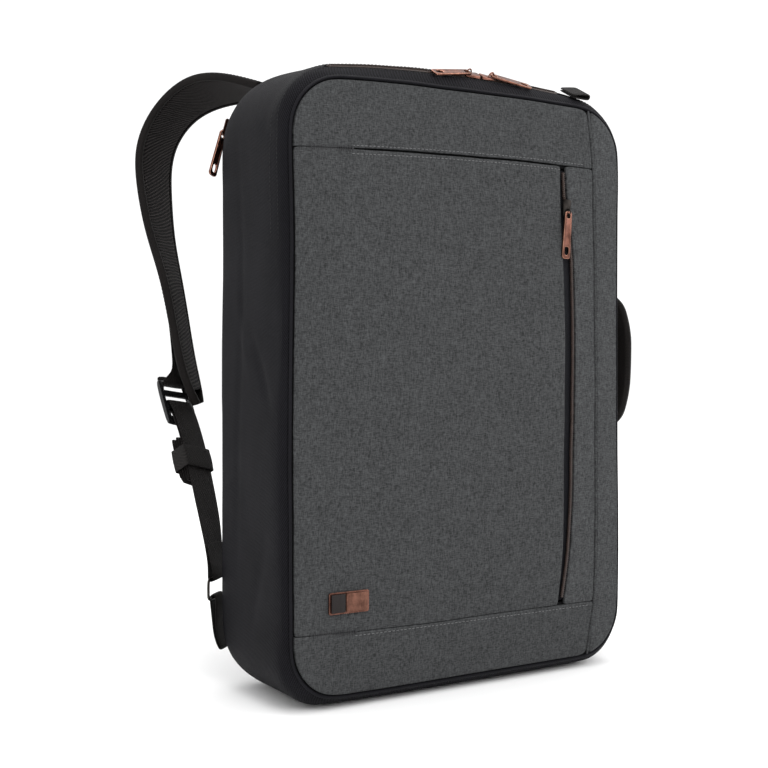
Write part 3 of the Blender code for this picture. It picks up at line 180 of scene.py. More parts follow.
# Strap, as in the part
STRAP_START = Vector((-0.050, 0.0, 0.4223))
STRAP_SPREAD = 0.078
STRAP_REACH = 0.152
STRAP_DROP = 0.220
STRAP_WIDTH = 0.062
STRAP_ROWS = (
    # along, out, back, up, turn, tilt, width
    (0.00, 0.00, 0.00, 0.00, 0, 0, 1.00),
    (0.07, 0.15, 0.17, 0.105, 10, 3, 1.00),
    (0.15, 0.40, 0.42, 0.150, 22, 8, 1.00),
    (0.23, 0.56, 0.65, 0.160, 34, 11, 1.00),
    (0.30, 0.69, 0.84, 0.130, 44, 12, 1.00),
    (0.36, 0.80, 0.95, 0.065, 43, 11, 1.00),
    (0.42, 0.89, 1.00, -0.010, 40, 8, 0.98),
    (0.50, 0.94, 1.01, -0.117, 39, 5, 0.96),
    (0.58, 0.945, 0.975, -0.238, 41, 3, 0.94),
    (0.66, 0.955, 0.91, -0.360, 44, 1, 0.89),
    (0.80, 0.990, 0.70, -0.583, 50, 0, 0.80),
    (0.92, 1.000, 0.54, -0.846, 51, 0, 0.74),
    (1.00, 0.985, 0.41, -1.000, 52, 0, 0.70),
)
STRAP_SEAM = 0.0045  # from the strap's edge to its stitches

# Camera
EYE = Vector((-0.6375, -0.8975, 0.2603))
LOOK = Vector((0.5563, 0.8310, 0.0))
LENS = 67.97
RISE = -0.0703

# Studio
SKY = 1.13
FLOOR_HALF = 40.0
LAMPS = (
    # name, place, what it points at, size and power
    ("front soft box", (-0.5, -1.6, 1.5), (0, 0, 0.22), (1.4, 1.2), 14),
    ("right soft box", (1.7, -1.2, 1.2), (0, 0, 0.25), (1.0, 1.4), 16),
    ("top soft box", (0.0, 0.3, 2.0), (0, 0, 0.3), (1.6, 1.6), 18),
)


class BagCloth(bpy.types.PropertyGroup):
    """Colours and thread sizes of the bag's fabrics."""

    heather_dark: bpy.props.FloatVectorProperty(
        name="Heather dark thread",
        description="Darkest thread of the front's melange",
        subtype="COLOR",
        default=(0.0150, 0.0155, 0.0160),
    )
    heather_light: bpy.props.FloatVectorProperty(
        name="Heather light thread",
        description="Lightest thread of the front's melange",
        subtype="COLOR",
        default=(0.066, 0.068, 0.070),
    )
    gusset: bpy.props.FloatVectorProperty(
        name="Gusset",
        description="Colour of the plain black fabric round the sides",
        subtype="COLOR",
        default=(0.0046, 0.0044, 0.0060),
    )
    thread: bpy.props.FloatProperty(
        name="Thread",
        description="Distance between two threads of the front's weave",
        default=0.00046,
        min=0.0001,
        unit="LENGTH",
    )


class BagSewing(bpy.types.PropertyGroup):
    """Size of the stitches."""

    stitch: bpy.props.FloatProperty(
        name="Stitch",
        description="Length of one stitch",
        default=0.0024,
        min=0.0005,
        unit="LENGTH",
    )
    space: bpy.props.FloatProperty(
        name="Space",
        description="Bare cloth between two stitches",
        default=0.0010,
        min=0.0001,
        unit="LENGTH",
    )
    thickness: bpy.props.FloatProperty(
        name="Thickness",
        description="Thickness of the sewing thread",
        default=0.00055,
        min=0.0001,
        unit="LENGTH",
    )


# Shader sums


def plug(tree, socket, value):
    """Links a signal to a socket, or sets a plain value on it."""
    if isinstance(value, Signal):
        tree.links.new(value.socket, socket)
    elif hasattr(socket.default_value, "__len__") and len(value) == 3 < len(socket.default_value):
        socket.default_value = (*value, 1.0)
    else:
        socket.default_value = value


class Signal:
    """A shader value on which Python's sums add Math nodes."""

    def __init__(self, tree, socket):
        self.tree = tree
        self.socket = socket

    def math(self, operation, *others):
        node = self.tree.nodes.new("ShaderNodeMath")
        node.operation = operation
        for socket, value in zip(node.inputs, (self, *others)):
            plug(self.tree, socket, value)
        return Signal(self.tree, node.outputs[0])

    def __add__(self, other):
        return self.math("ADD", other)

    def __sub__(self, other):
        return self.math("SUBTRACT", other)

    def __mul__(self, other):
        return self.math("MULTIPLY", other)

    def __rsub__(self, other):
        return self.math("MULTIPLY", -1.0).math("ADD", other)

    def __abs__(self):
        return self.math("ABSOLUTE")

    __radd__ = __add__
    __rmul__ = __mul__

    def wave(self, pitch):
        return (self * (math.tau / pitch)).math("SINE")

    def step(self, low, high):
        """0 below low, 1 above high, smooth between."""
        node = self.tree.nodes.new("ShaderNodeMapRange")
        node.interpolation_type = "SMOOTHSTEP"
        plug(self.tree, node.inputs["Value"], self)
        node.inputs["From Min"].default_value = low
        node.inputs["From Max"].default_value = high
        return Signal(self.tree, node.outputs["Result"])


class Finish:
    """One material and the nodes that paint it."""

    def __init__(self, name, roughness=0.9, **steady):
        self.material = bpy.data.materials.new(name)
        self.material.use_nodes = True
        self.tree = self.material.node_tree
        self.shader = self.tree.nodes["Principled BSDF"]
        self.paint("Roughness", roughness)
        for key, value in steady.items():
            self.paint(key.replace("_", " ").title().replace("Ior", "IOR"), value)
        self.coordinates = None

    def node(self, kind, settings, sockets, out=0):
        node = self.tree.nodes.new(kind)
        for key, value in settings.items():
            setattr(node, key, value)
        for key, value in sockets.items():
            plug(self.tree, node.inputs[key], value)
        return Signal(self.tree, node.outputs[out])

    def paint(self, socket, value):
        plug(self.tree, self.shader.inputs[socket], value)

    def place(self):
        """X, Y and Z of the object's own coordinates."""
        if self.coordinates is None:
            spot = self.node("ShaderNodeTexCoord", {}, {}, "Object")
            split = self.node("ShaderNodeSeparateXYZ", {}, {"Vector": spot})
            outputs = split.socket.node.outputs
            self.coordinates = [Signal(self.tree, outputs[k]) for k in range(3)]
        return self.coordinates

    def run(self):
        """Distance along and across a strip whose UV map holds them in metres."""
        spot = self.node("ShaderNodeTexCoord", {}, {}, "UV")
        split = self.node("ShaderNodeSeparateXYZ", {}, {"Vector": spot})
        outputs = split.socket.node.outputs
        return Signal(self.tree, outputs[0]), Signal(self.tree, outputs[1])

    def vector(self, x, y, z):
        return self.node("ShaderNodeCombineXYZ", {}, {"X": x, "Y": y, "Z": z})

    def noise(self, vector, scale=1.0, detail=2.0, rough=0.5):
        sockets = {"Vector": vector, "Scale": scale, "Detail": detail, "Roughness": rough}
        return self.node("ShaderNodeTexNoise", {"noise_dimensions": "3D"}, sockets, "Fac")

    def blend(self, share, low, high):
        sockets = {0: share, 6: low, 7: high}
        return self.node("ShaderNodeMix", {"data_type": "RGBA"}, sockets, 2)

    def bump(self, height, distance, strength=1.0):
        sockets = {"Height": height, "Distance": distance, "Strength": strength}
        normal = self.node("ShaderNodeBump", {}, sockets, "Normal")
        self.paint("Normal", normal)


def tone(colour, share):
    return tuple(min(1.0, channel * share) for channel in colour)


def heather(name, cloth, lift=1.0):
    """Two-tone melange in a plain weave, read on the front's own X and Z."""
    finish = Finish(name, 0.95, specular_ior_level=0.12)
    x, y, z = finish.place()
    weft = finish.noise(finish.vector(x * 330, y * 40, z * 1900), detail=1.5)
    warp = finish.noise(finish.vector(x * 1900, y * 40, z * 330), detail=1.5)
    over = (x.wave(cloth.thread * 2) * z.wave(cloth.thread * 2)).step(-0.35, 0.35)
    threads = weft * over + warp * (1 - over)
    slubs = finish.noise(finish.vector(x * 700, y * 30, z * 130), detail=2.0)
    cloud = finish.noise(finish.vector(x * 34, y * 34, z * 34), detail=2.0)
    share = (threads * 0.86 + slubs * 0.10 + cloud * 0.04).step(0.30, 0.72)
    dark, light = tone(cloth.heather_dark, lift), tone(cloth.heather_light, lift)
    finish.paint("Base Color", finish.blend(share, dark, light))
    finish.bump(over * 0.5 + threads * 0.8, 0.00022, 0.55)
    return finish.material


def twill(name, colour, pitch, roughness, strength=0.5):
    """Fine plain-dyed cloth for pieces that turn round the body."""
    finish = Finish(name, roughness, specular_ior_level=0.11)
    x, y, z = finish.place()
    along = abs(x) - abs(z - BODY_MIDDLE)
    ribs = (along * 0.7 + y).wave(pitch)
    cross = (along - y * 2.0).wave(pitch * 1.7)
    fuzz = finish.noise(finish.vector(x * 900, y * 900, z * 900), detail=1.0)
    cloud = finish.noise(finish.vector(x * 28, y * 28, z * 28), detail=3.0)
    share = (ribs * 0.38 + fuzz * 0.6 + cloud * 0.35).step(0.05, 1.0)
    finish.paint("Base Color", finish.blend(share, tone(colour, 0.35), tone(colour, 1.9)))
    finish.paint("Roughness", roughness - 0.12 * cloud)
    finish.bump(ribs * 0.6 + cross * 0.2 + fuzz * 0.4, 0.00030, strength)
    return finish.material


def ribbed_web(name, colour, rib):
    """Webbing: chevron ribs on a UV map in metres."""
    finish = Finish(name, 0.75, specular_ior_level=0.2)
    u, v = finish.run()
    slant = (u + abs(v.math("PINGPONG", 0.0035)) * 0.9).wave(rib)
    cross = v.wave(rib * 1.3)
    fuzz = finish.noise(finish.vector(u * 700, v * 700, 0.0), detail=1.0)
    share = (slant * 0.3 + fuzz).step(0.1, 1.0)
    finish.paint("Base Color", finish.blend(share, tone(colour, 0.45), tone(colour, 1.8)))
    finish.bump(slant * 0.7 + cross * 0.3 + fuzz * 0.3, 0.0003, 0.7)
    return finish.material


def spacer(name, colour, cell):
    """Air mesh: slanted ribs, with painted shade in the grooves between them."""
    finish = Finish(name, 0.9, specular_ior_level=0.12)
    u, v = finish.run()
    ribs = (u + v * 0.55).wave(cell).step(-0.5, 0.7)
    cross = (u - v * 1.6).wave(cell * 0.6).step(-0.6, 0.6)
    fuzz = finish.noise(finish.vector(u * 800, v * 800, 0.0), detail=1.0)
    # Between the ribs the colour falls to its darkest tone: painted shade in the grooves.
    share = ribs * (0.55 + cross * 0.3 + fuzz * 0.3)
    finish.paint("Base Color", finish.blend(share, tone(colour, 0.3), tone(colour, 3.2)))
    finish.bump(ribs + cross * 0.25 + fuzz * 0.2, 0.0009, 1.0)
    return finish.material


def back_mesh(name, colour, cell):
    finish = Finish(name, 0.92, specular_ior_level=0.12)
    x, _, z = finish.place()
    holes = ((x + z).wave(cell) * (x - z).wave(cell)).step(-0.1, 0.6)
    fuzz = finish.noise(finish.vector(x * 800, 0.0, z * 800), detail=1.0)
    # Where the holes open, the colour falls to its darkest tone: painted shade in the holes.
    share = (1 - holes) * (0.5 + fuzz * 0.7)
    finish.paint("Base Color", finish.blend(share, tone(colour, 0.3), tone(colour, 2.0)))
    finish.bump((1 - holes) + fuzz * 0.2, 0.0006, 0.8)
    return finish.material


def copper(name, colour, roughness):
    """Antiqued metal: brushed, darker in patches."""
    finish = Finish(name, roughness, metallic=1.0)
    x, y, z = finish.place()
    brushed = finish.noise(finish.vector(x * 2600, y * 500, z * 260), detail=2.0)
    stain = finish.noise(finish.vector(x * 190, y * 190, z * 190), detail=3.0)
    share = (stain * 0.8 + brushed * 0.3).step(0.35, 0.75)
    finish.paint("Base Color", finish.blend(share, tone(colour, 0.50), tone(colour, 1.25)))
    finish.paint("Roughness", roughness + 0.22 * stain)
    finish.bump(brushed, 0.00008, 0.35)
    return finish.material


def moulded(name, colour, roughness):
    finish = Finish(name, roughness, specular_ior_level=0.5)
    x, y, z = finish.place()
    grain = finish.noise(finish.vector(x * 2200, y * 2200, z * 2200), detail=2.0)
    wear = finish.noise(finish.vector(x * 120, y * 120, z * 120), detail=3.0)
    finish.paint("Base Color", finish.blend(wear, tone(colour, 0.8), tone(colour, 1.3)))
    finish.paint("Roughness", roughness + 0.14 * wear)
    finish.bump(grain, 0.00006, 0.4)
    return finish.material


def coil_look(name, colour):
    finish = Finish(name, 0.42, specular_ior_level=0.5)
    x, y, z = finish.place()
    grime = finish.noise(finish.vector(x * 300, y * 300, z * 300), detail=2.0)
    finish.paint("Base Color", finish.blend(grime, tone(colour, 0.6), tone(colour, 1.5)))
    finish.bump(grime, 0.0001, 0.3)
    return finish.material


def thread_look(name, colour):
    finish = Finish(name, 0.6, specular_ior_level=0.25)
    x, y, z = finish.place()
    twist = (x + y + z).wave(0.0006)
    share = (twist * 0.4).step(-0.4, 0.4)
    finish.paint("Base Color", finish.blend(share, tone(colour, 0.6), tone(colour, 1.4)))
    finish.bump(twist, 0.00008, 0.5)
    return finish.material


LOOKS = {}


def make_looks(cloth):
    brown, warm_black = (0.034, 0.021, 0.017), (0.0070, 0.0058, 0.0055)
    LOOKS.update({
        "heather": heather("heather fabric", cloth),
        "heather strip": heather("heather fabric side", cloth, 1.12),
        "gusset": twill("gusset fabric", cloth.gusset, 0.0018, 0.80, 0.9),
        "piping": twill("piping fabric", tone(cloth.gusset, 1.1), 0.0007, 0.7),
        "lining": twill("lining", (0.0060, 0.0060, 0.0065), 0.0008, 0.9),
        # The zip tape is a lighter, bluish black: partly its own colour, partly a painted bluish
        # highlight.
        "tape": twill("zip tape", (0.0085, 0.0085, 0.0105), 0.0011, 0.7, 0.9),
        "pad": twill("strap fabric", warm_black, 0.0008, 0.8),
        "root": twill("root fabric", (0.030, 0.030, 0.031), 0.0008, 0.85),
        "webbing": ribbed_web("webbing", warm_black, 0.0016),
        "strap mesh": spacer("spacer mesh", (0.0095, 0.0080, 0.0078), 0.0031),
        "back mesh": back_mesh("back air mesh", (0.0085, 0.0085, 0.0090), 0.0042),
        "coil": coil_look("zip coil", brown),
        "copper": copper("copper", (0.190, 0.084, 0.061), 0.27),
        # The edge colours are lighter than their metals and go on the bevelled rims: painted
        # highlight.
        "copper edge": copper("copper edge painted highlight", (0.52, 0.27, 0.19), 0.20),
        "plate edge": copper("plate edge painted highlight", (0.42, 0.22, 0.16), 0.26),
        "plate": copper("aged copper plate", (0.150, 0.070, 0.052), 0.36),
        "plastic": moulded("moulded plastic", (0.0060, 0.0060, 0.0064), 0.22),
        # Dark metal: the strap rings' own colour, and painted shade on the front zip's slider.
        "dark metal": copper("blackened metal", (0.030, 0.026, 0.024), 0.25),
        "dark field": moulded("plate dark field", (0.0062, 0.0034, 0.0030), 0.85),
        "bright field": copper("plate bright field", (0.150, 0.072, 0.052), 0.40),
        "thread": thread_look("sewing thread", (0.115, 0.115, 0.118)),
        "dark thread": thread_look("bar tack thread", (0.026, 0.026, 0.028)),
        "black thread": thread_look("black sewing thread", (0.012, 0.012, 0.013)),
    })


# Fabric copies of the frame's nodes


def node_copy(node):
    """The node's mesh, whole again and in quads."""
    bm = bmesh.new()
    bm.from_mesh(frame["nodes"][node].data)
    bmesh.ops.remove_doubles(bm, verts=bm.verts[:], dist=2e-6)
    bmesh.ops.join_triangles(
        bm, faces=bm.faces[:], angle_face_threshold=0.7, angle_shape_threshold=1.1
    )
    return bm


def sharp_edges(bm, degrees=SHARP):
    limit = math.radians(degrees)
    return [e for e in bm.edges if len(e.link_faces) == 2 and e.calc_face_angle() > limit]


def finished(piece):
    """Turns a piece's modifiers into its mesh."""
    graph = bpy.context.evaluated_depsgraph_get()
    mesh = bpy.data.meshes.new_from_object(piece.evaluated_get(graph))
    old = piece.data
    piece.modifiers.clear()
    piece.data = mesh
    bpy.data.meshes.remove(old)
    return piece


def new_piece(name, bm, look, body="bag"):
    mesh = bpy.data.meshes.new(name)
    bm.to_mesh(mesh)
    bm.free()
    piece = bpy.data.objects.new(name, mesh)
    bpy.context.scene.collection.objects.link(piece)
    mesh.materials.append(LOOKS[look])
    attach(piece, body)
    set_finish(piece, SLOTS.get(look, "gusset_fabric"))
    return piece


SLOTS = {
    "heather": "heather_fabric",
    "heather strip": "heather_fabric",
    "lining": "lining",
    "tape": "zip_tape",
    "coil": "zip_coil",
    "copper": "copper_metal",
    "plate": "copper_metal",
    "dark metal": "copper_metal",
    "dark field": "copper_metal",
    "bright field": "copper_metal",
    "webbing": "webbing",
    "pad": "webbing",
    "strap mesh": "spacer_mesh",
    "back mesh": "spacer_mesh",
    "plastic": "moulded_plastic",
    "root": "root_fabric",
}


def smooth(piece, degrees=SHARP):
    piece.data.shade_smooth()
    piece.data.set_sharp_from_angle(angle=math.radians(degrees))
    return piece


def rim_crease(place):
    """Soft on the front's outer rim, tight along its inner seams."""
    low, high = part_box("front_piping")
    middle, half = (low + high) / 2, (high - low) / 2
    radius = half.x * RIM_RADIUS
    out = [abs(place[k] - middle[k]) - half[k] + radius for k in (0, 2)]
    beyond = math.hypot(max(0.0, out[0]), max(0.0, out[1]))
    edge = beyond + min(0.0, max(out)) - radius
    seams = (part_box("front_main_panel")[0].z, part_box("front_main_panel")[1].z)
    near_seam = min(abs(place.z - seam) for seam in seams) < ROLLED
    return ROLLED_CREASE if edge > -ROLLED and not near_seam else SEWN_CREASE


def dress(node, look, levels=SUBDIVISIONS, crease=lambda place: CREASE):
    """A fabric copy of a node: its sewn edges creased, its faces made fine."""
    bm = node_copy(node)
    layer = bm.edges.layers.float.new("crease_edge")
    for edge in sharp_edges(bm):
        edge[layer] = crease((edge.verts[0].co + edge.verts[1].co) / 2)
    piece = new_piece(node + "_cloth", bm, look, frame["nodes"][node]["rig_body"])
    fine = piece.modifiers.new("fine", "SUBSURF")
    fine.levels = fine.render_levels = levels
    finished(piece)
    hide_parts(node)
    return smooth(piece)


def polish(node, look, width=METAL_EDGE, levels=0):
    """A hard copy of a node with rounded, light-catching edges."""
    bm = node_copy(node)
    piece = new_piece(node + "_polished", bm, look, frame["nodes"][node]["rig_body"])
    if levels:
        fine = piece.modifiers.new("fine", "SUBSURF")
        fine.levels = fine.render_levels = levels
    else:
        # The bevel takes the look's lighter edge colour where there is one: painted highlight
        # along the rims.
        piece.data.materials.append(LOOKS.get(look + " edge", LOOKS[look]))
        edge = piece.modifiers.new("edge", "BEVEL")
        edge.width = width
        edge.segments = 2
        edge.material = 1
        edge.limit_method = "ANGLE"
        edge.angle_limit = math.radians(30)
    finished(piece)
    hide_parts(node)
    return smooth(piece, 45)


def hard_boxes():
    names = [n for n in frame["nodes"] if "slider" in n or n in ("badge_plate", "corner_loop")]
    names += ["side_handle_anchor_low", "side_handle_anchor_high", "strap_left_root"]
    names += ["strap_right_root", "strap_left_anchor", "strap_right_anchor"]
    return [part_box(n) for n in names]


def stillness(place, boxes):
    """0 on a hard piece, 1 a little way from all of them."""
    nearest = CALM
    for low, high in boxes:
        away = [max(low[k] - place[k], 0.0, place[k] - high[k]) for k in range(3)]
        nearest = min(nearest, math.sqrt(sum(a * a for a in away)))
    share = nearest / CALM
    return share * share * (3 - 2 * share)


def fold_depth(folds, across, up):
    """How deep the listed folds lie at one spot."""
    depth = 0.0
    for middle, height, turn, long, wide, deep in folds:
        a, b = across - middle, up - height
        if abs(a) + abs(b) > 4 * long:
            continue
        turn = math.radians(turn)
        run = (a * math.cos(turn) + b * math.sin(turn)) / long
        off = (b * math.cos(turn) - a * math.sin(turn)) / wide
        depth += deep * math.exp(-run * run - off * off)
    return depth


def hang(piece, boxes):
    """Moves the cloth by one shared field, so that pieces sewn together move together."""
    noise.seed_set(HANG_SEED)
    for vertex in piece.data.vertices:
        place = vertex.co.copy()
        calm = stillness(place, boxes)
        if calm <= 0.0:
            continue
        move = Vector((0.0, 0.0, 0.0))
        for depth, folds in (HANG_WIDE, HANG_FINE):
            move += noise.noise_vector(place * folds) * depth
        if place.x < LEFT_SIDE:
            line, half, deep = CREASE_LINE
            off = (place.y - line - 0.004 * math.sin(place.z * 16)) / half
            ends = max(0.0, 1 - ((place.z - CREASE_SPAN[0]) / CREASE_SPAN[1]) ** 2)
            move.x += deep * ends * math.exp(-off * off)
            if place.y > FRONT_EDGE:
                move.x += fold_depth(SIDE_FOLDS, place.y, place.z)
        if place.y < FRONT_EDGE:
            move.y += fold_depth(FRONT_FOLDS, place.x, place.z)
        move.z *= min(1.0, max(0.0, place.z - LOW.z) / FOOT)
        vertex.co = place + move * calm
    piece.data.update()
    return piece


def plump(piece, more):
    """Fills a thin cord out until it meets the cloth on both sides."""
    normals = [normal.vector.copy() for normal in piece.data.vertex_normals]
    for vertex, normal in zip(piece.data.vertices, normals):
        vertex.co += normal * more
    piece.data.update()


def widen(piece, reach):
    """Lets the backing's edge reach under the piping, so that no light comes through."""
    low, high = (Vector(corner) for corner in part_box("front_backing"))
    middle, half = (low + high) / 2, (high - low) / 2
    size = Vector((1 + reach / half.x, 1.0, 1 + reach / half.z))
    for vertex in piece.data.vertices:
        off = vertex.co - middle
        vertex.co = middle + Vector((off.x * size.x, off.y, off.z * size.z))
    piece.data.update()


def settle(piece, pinned, pressure, cap, frames=20):
    """Blows the padding up a little with cloth simulation, and keeps the result."""
    rest = [v.co.copy() for v in piece.data.vertices]
    pins = piece.vertex_groups.new(name="pins")
    pins.add([v.index for v in piece.data.vertices if pinned(v.co)], 1.0, "REPLACE")
    cloth = piece.modifiers.new("padding", "CLOTH")
    cloth.settings.quality = 5
    cloth.settings.mass = 0.3
    cloth.settings.use_pressure = True
    cloth.settings.uniform_pressure_force = pressure
    cloth.settings.tension_stiffness = 18
    cloth.settings.compression_stiffness = 12
    cloth.settings.bending_stiffness = 0.6
    cloth.settings.vertex_group_mass = "pins"
    cloth.settings.effector_weights.gravity = 0.0
    cloth.point_cache.frame_start = 1
    cloth.point_cache.frame_end = frames
    scene = bpy.context.scene
    for step in range(1, frames + 1):
        scene.frame_set(step)
    finished(piece)
    for vertex, old in zip(piece.data.vertices, rest):
        move = vertex.co - old
        if move.length > cap:
            vertex.co = old + move * (cap / move.length)
    piece.vertex_groups.clear()
    scene.frame_set(1)
    piece.data.update()
    return piece


def write_run(piece, measure):
    """Writes a UV map whose values are metres along and across the piece."""
    layer = piece.data.uv_layers.new(name="run")
    spots = [measure(v.co) for v in piece.data.vertices]
    for loop in piece.data.loops:
        layer.data[loop.index].uv = spots[loop.vertex_index]
    return piece


def mirrored(piece, name, node):
    """The right strap's piece from the left one's."""
    bm = bmesh.new()
    bm.from_mesh(piece.data)
    bmesh.ops.scale(bm, vec=(-1, 1, 1), verts=bm.verts[:])
    bmesh.ops.reverse_faces(bm, faces=bm.faces[:])
    mesh = bpy.data.meshes.new(name)
    bm.to_mesh(mesh)
    bm.free()
    twin = bpy.data.objects.new(name, mesh)
    bpy.context.scene.collection.objects.link(twin)
    mesh.materials.append(piece.data.materials[0])
    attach(twin, "bag")
    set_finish(twin, piece["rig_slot"])
    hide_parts(node)
    return twin


def soft_tree(*pieces):
    """A search tree over finished pieces, for laying stitches on them."""
    bm = bmesh.new()
    for piece in pieces:
        bm.from_mesh(piece.data)
    tree = BVHTree.FromBMesh(bm)
    bm.free()
    return tree


# Stitches


def resample(line, pitch):
    """Points at an even distance along a line of (place, normal) pairs."""
    spots, left = [], 0.0
    for (start, normal), (stop, _) in zip(line, line[1:]):
        way = stop - start
        long = way.length
        if long < 1e-7 or long > 0.02:
            continue
        at = left
        while at < long:
            spots.append((start + way * (at / long), normal, way / long))
            at += pitch
        left = at - long
    return spots


def add_stitch(bm, place, along, normal, long, thick):
    side = normal.cross(along).normalized()
    up = along.cross(side).normalized()
    turn = Matrix((along, side, up)).transposed().to_4x4()
    size = Matrix.Diagonal((long, thick, thick * 0.8, 1.0))
    spot = Matrix.Translation(place + up * thick * 0.12)
    bmesh.ops.create_uvsphere(
        bm, u_segments=6, v_segments=5, radius=0.5,
        matrix=spot @ turn @ Matrix.Rotation(math.pi / 2, 4, "Y").inverted() @ swap(size),
    )


def swap(size):
    """The stitch's own Z runs along the seam."""
    return Matrix.Diagonal((size[2][2], size[1][1], size[0][0], 1.0))


def gathered(name, spots, look, batch=40):
    """One piece from many small stitches or teeth: (place, along, normal, long, thick)."""
    whole = bmesh.new()
    for start in range(0, len(spots), batch):
        few = bmesh.new()
        for spot in spots[start:start + batch]:
            add_stitch(few, *spot)
        mesh = bpy.data.meshes.new("few")
        few.to_mesh(mesh)
        few.free()
        whole.from_mesh(mesh)
        bpy.data.meshes.remove(mesh)
    return smooth(new_piece(name, whole, look), 80)


def sew(name, lines, look="thread", scale=1.0):
    """One piece with all the stitches of some lines of (place, normal) pairs."""
    sewing = bpy.context.scene.bag_sewing
    long, thick = sewing.stitch * scale, sewing.thickness
    return gathered(name, [
        (place, along, normal, long, thick)
        for line in lines
        for place, normal, along in resample(line, long + sewing.space)
    ], look)


def tack(line, tall):
    """A bar tack: close upright stitches over a line, with a stouter one at each end."""
    up = Vector((0, 0, 1))
    spots = [(p, up, n, tall, TACK_THREAD) for p, n, _ in resample(line, TACK_PITCH)]
    share, thick = TACK_END
    for place, normal in (line[0], line[-1]):
        spots.append((place, up, normal, tall * share, thick))
    return spots


def on_front(tree, points):
    """Points of the front's X and Z laid on the cloth, and bridged over a seam's gap."""
    line = []
    for x, z in points:
        for lift in (0.0, SEAM_GAP, -SEAM_GAP):
            eye = Vector((x, -0.2, z + lift))
            hit, normal, _, _ = tree.ray_cast(eye, Vector((0, 1, 0)), 0.3)
            if hit is not None and hit.y < FRONT_SKIN:
                line.append((Vector((x, hit.y, z)), normal))
                break
    return line


def round_body(tree, depth, start, stop, steps=420):
    """Points of the gusset at one depth, from one bearing to another in degrees."""
    middle = Vector((0.0, depth, BODY_MIDDLE))
    line = []
    for k in range(steps + 1):
        angle = math.radians(start + (stop - start) * k / steps)
        way = Vector((math.sin(angle), 0.0, math.cos(angle)))
        hit, normal, _, _ = tree.ray_cast(middle + way * 0.5, -way, 0.6)
        if hit is not None and (hit - middle).length > 0.1:
            line.append((hit, normal))
    return line


def blend_rows(rows, where):
    """The columns of a table at any value of its first column, smoothly."""
    keys = [row[0] for row in rows]
    k = max(0, min(len(rows) - 2, sum(key <= where for key in keys) - 1))
    wide = keys[k + 1] - keys[k]
    t = min(1.0, max(0.0, (where - keys[k]) / wide))
    values = []
    for column in range(1, len(rows[0])):
        slopes = []
        for i in (k, k + 1):
            a, b = max(0, i - 1), min(len(rows) - 1, i + 1)
            before = (rows[i][column] - rows[a][column]) / max(1e-9, keys[i] - keys[a])
            after = (rows[b][column] - rows[i][column]) / max(1e-9, keys[b] - keys[i])
            if a == i or b == i:
                slopes.append(after if a == i else before)
                continue
            same = before * after > 0
            slopes.append(2 * before * after / (before + after) if same else 0.0)
        a, b = rows[k][column], rows[k + 1][column]
        rise = wide * (slopes[0] * t * (1 - t) ** 2 - slopes[1] * t * t * (1 - t))
        values.append(a * (1 + 2 * t) * (1 - t) ** 2 + b * t * t * (3 - 2 * t) + rise)
    return values


def strap_spot(along):
    out, back, up, turn, tilt, width = blend_rows(STRAP_ROWS, along)
    start = Vector((STRAP_START.x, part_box("strap_left_root")[0].y, STRAP_START.z))
    place = start + Vector((-out * STRAP_SPREAD, back * STRAP_REACH, up * STRAP_DROP))
    turn, tilt = math.radians(turn), math.radians(tilt)
    flat = math.cos(tilt)
    across = Vector((math.cos(turn) * flat, math.sin(turn) * flat, -math.sin(tilt)))
    return place, across, width * STRAP_WIDTH / 2


def strap_stations(count=120):
    stations, length, last = [], 0.0, None
    for k in range(count + 1):
        place, across, half = strap_spot(k / count)
        length += (place - last).length if last else 0.0
        last = place
        ahead = strap_spot(min(1.0, k / count + 0.004))[0]
        behind = strap_spot(max(0.0, k / count - 0.004))[0]
        way = (ahead - behind).normalized()
        outward = across.cross(way).normalized()
        stations.append((length, place, way, across, outward, half))
    return stations


STATIONS = strap_stations()


def strap_run(place):
    best = min(STATIONS, key=lambda station: (station[1] - place).length_squared)
    length, middle, way, across, _, _ = best
    off = place - middle
    return (length + off.dot(way), off.dot(across))


# Pieces


class BAG_OT_looks(bpy.types.Operator):
    """Mix the fabrics, threads and metals"""

    bl_idname = "bag.looks"
    bl_label = "Mix materials"

    def execute(self, context):
        make_looks(context.scene.bag_cloth)
        return {"FINISHED"}


SOFT = {}


class BAG_OT_body(bpy.types.Operator):
    """Dress the gusset, the front panels and their trim"""

    bl_idname = "bag.body"
    bl_label = "Body fabric"

    def execute(self, context):
        boxes = hard_boxes()
        for node, look, levels in (
            ("gusset_band", "gusset", 3),
            ("front_top_panel", "heather", 3),
            ("front_main_panel", "heather", 3),
            ("front_zip_strip", "heather strip", 3),
            ("front_side_strip", "heather strip", 3),
            ("front_bottom_panel", "heather", 3),
            ("front_backing", "lining", 2),
            ("front_zip_tape", "tape", 2),
            ("front_piping", "piping", 2),
            ("side_welt", "heather strip", 2),
            ("main_zip_tape", "tape", 2),
            ("back_zip_tape", "tape", 2),
        ):
            crease = rim_crease if look.startswith("heather") else lambda place: CREASE
            piece = dress(node, look, levels, crease)
            if node in ("front_piping", "side_welt"):
                plump(piece, PIPING_FILL)
            if node == "front_backing":
                widen(piece, BACKING_REACH)
            SOFT[node] = hang(piece, boxes)
        return {"FINISHED"}


class BAG_OT_back(bpy.types.Operator):
    """Dress the padded back panel and the yoke"""

    bl_idname = "bag.back"
    bl_label = "Back panel"

    def execute(self, context):
        panel = dress("back_panel", "back mesh", 2)
        low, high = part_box("back_panel")

        def pinned(place):
            inside = min(place.x - low.x, high.x - place.x, place.z - low.z, high.z - place.z)
            return inside < BACK_RIM or place.y < (low.y + high.y) / 2

        SOFT["back_panel"] = settle(panel, pinned, *BACK_SWELL)
        SOFT["strap_yoke"] = dress("strap_yoke", "pad", 2)
        return {"FINISHED"}


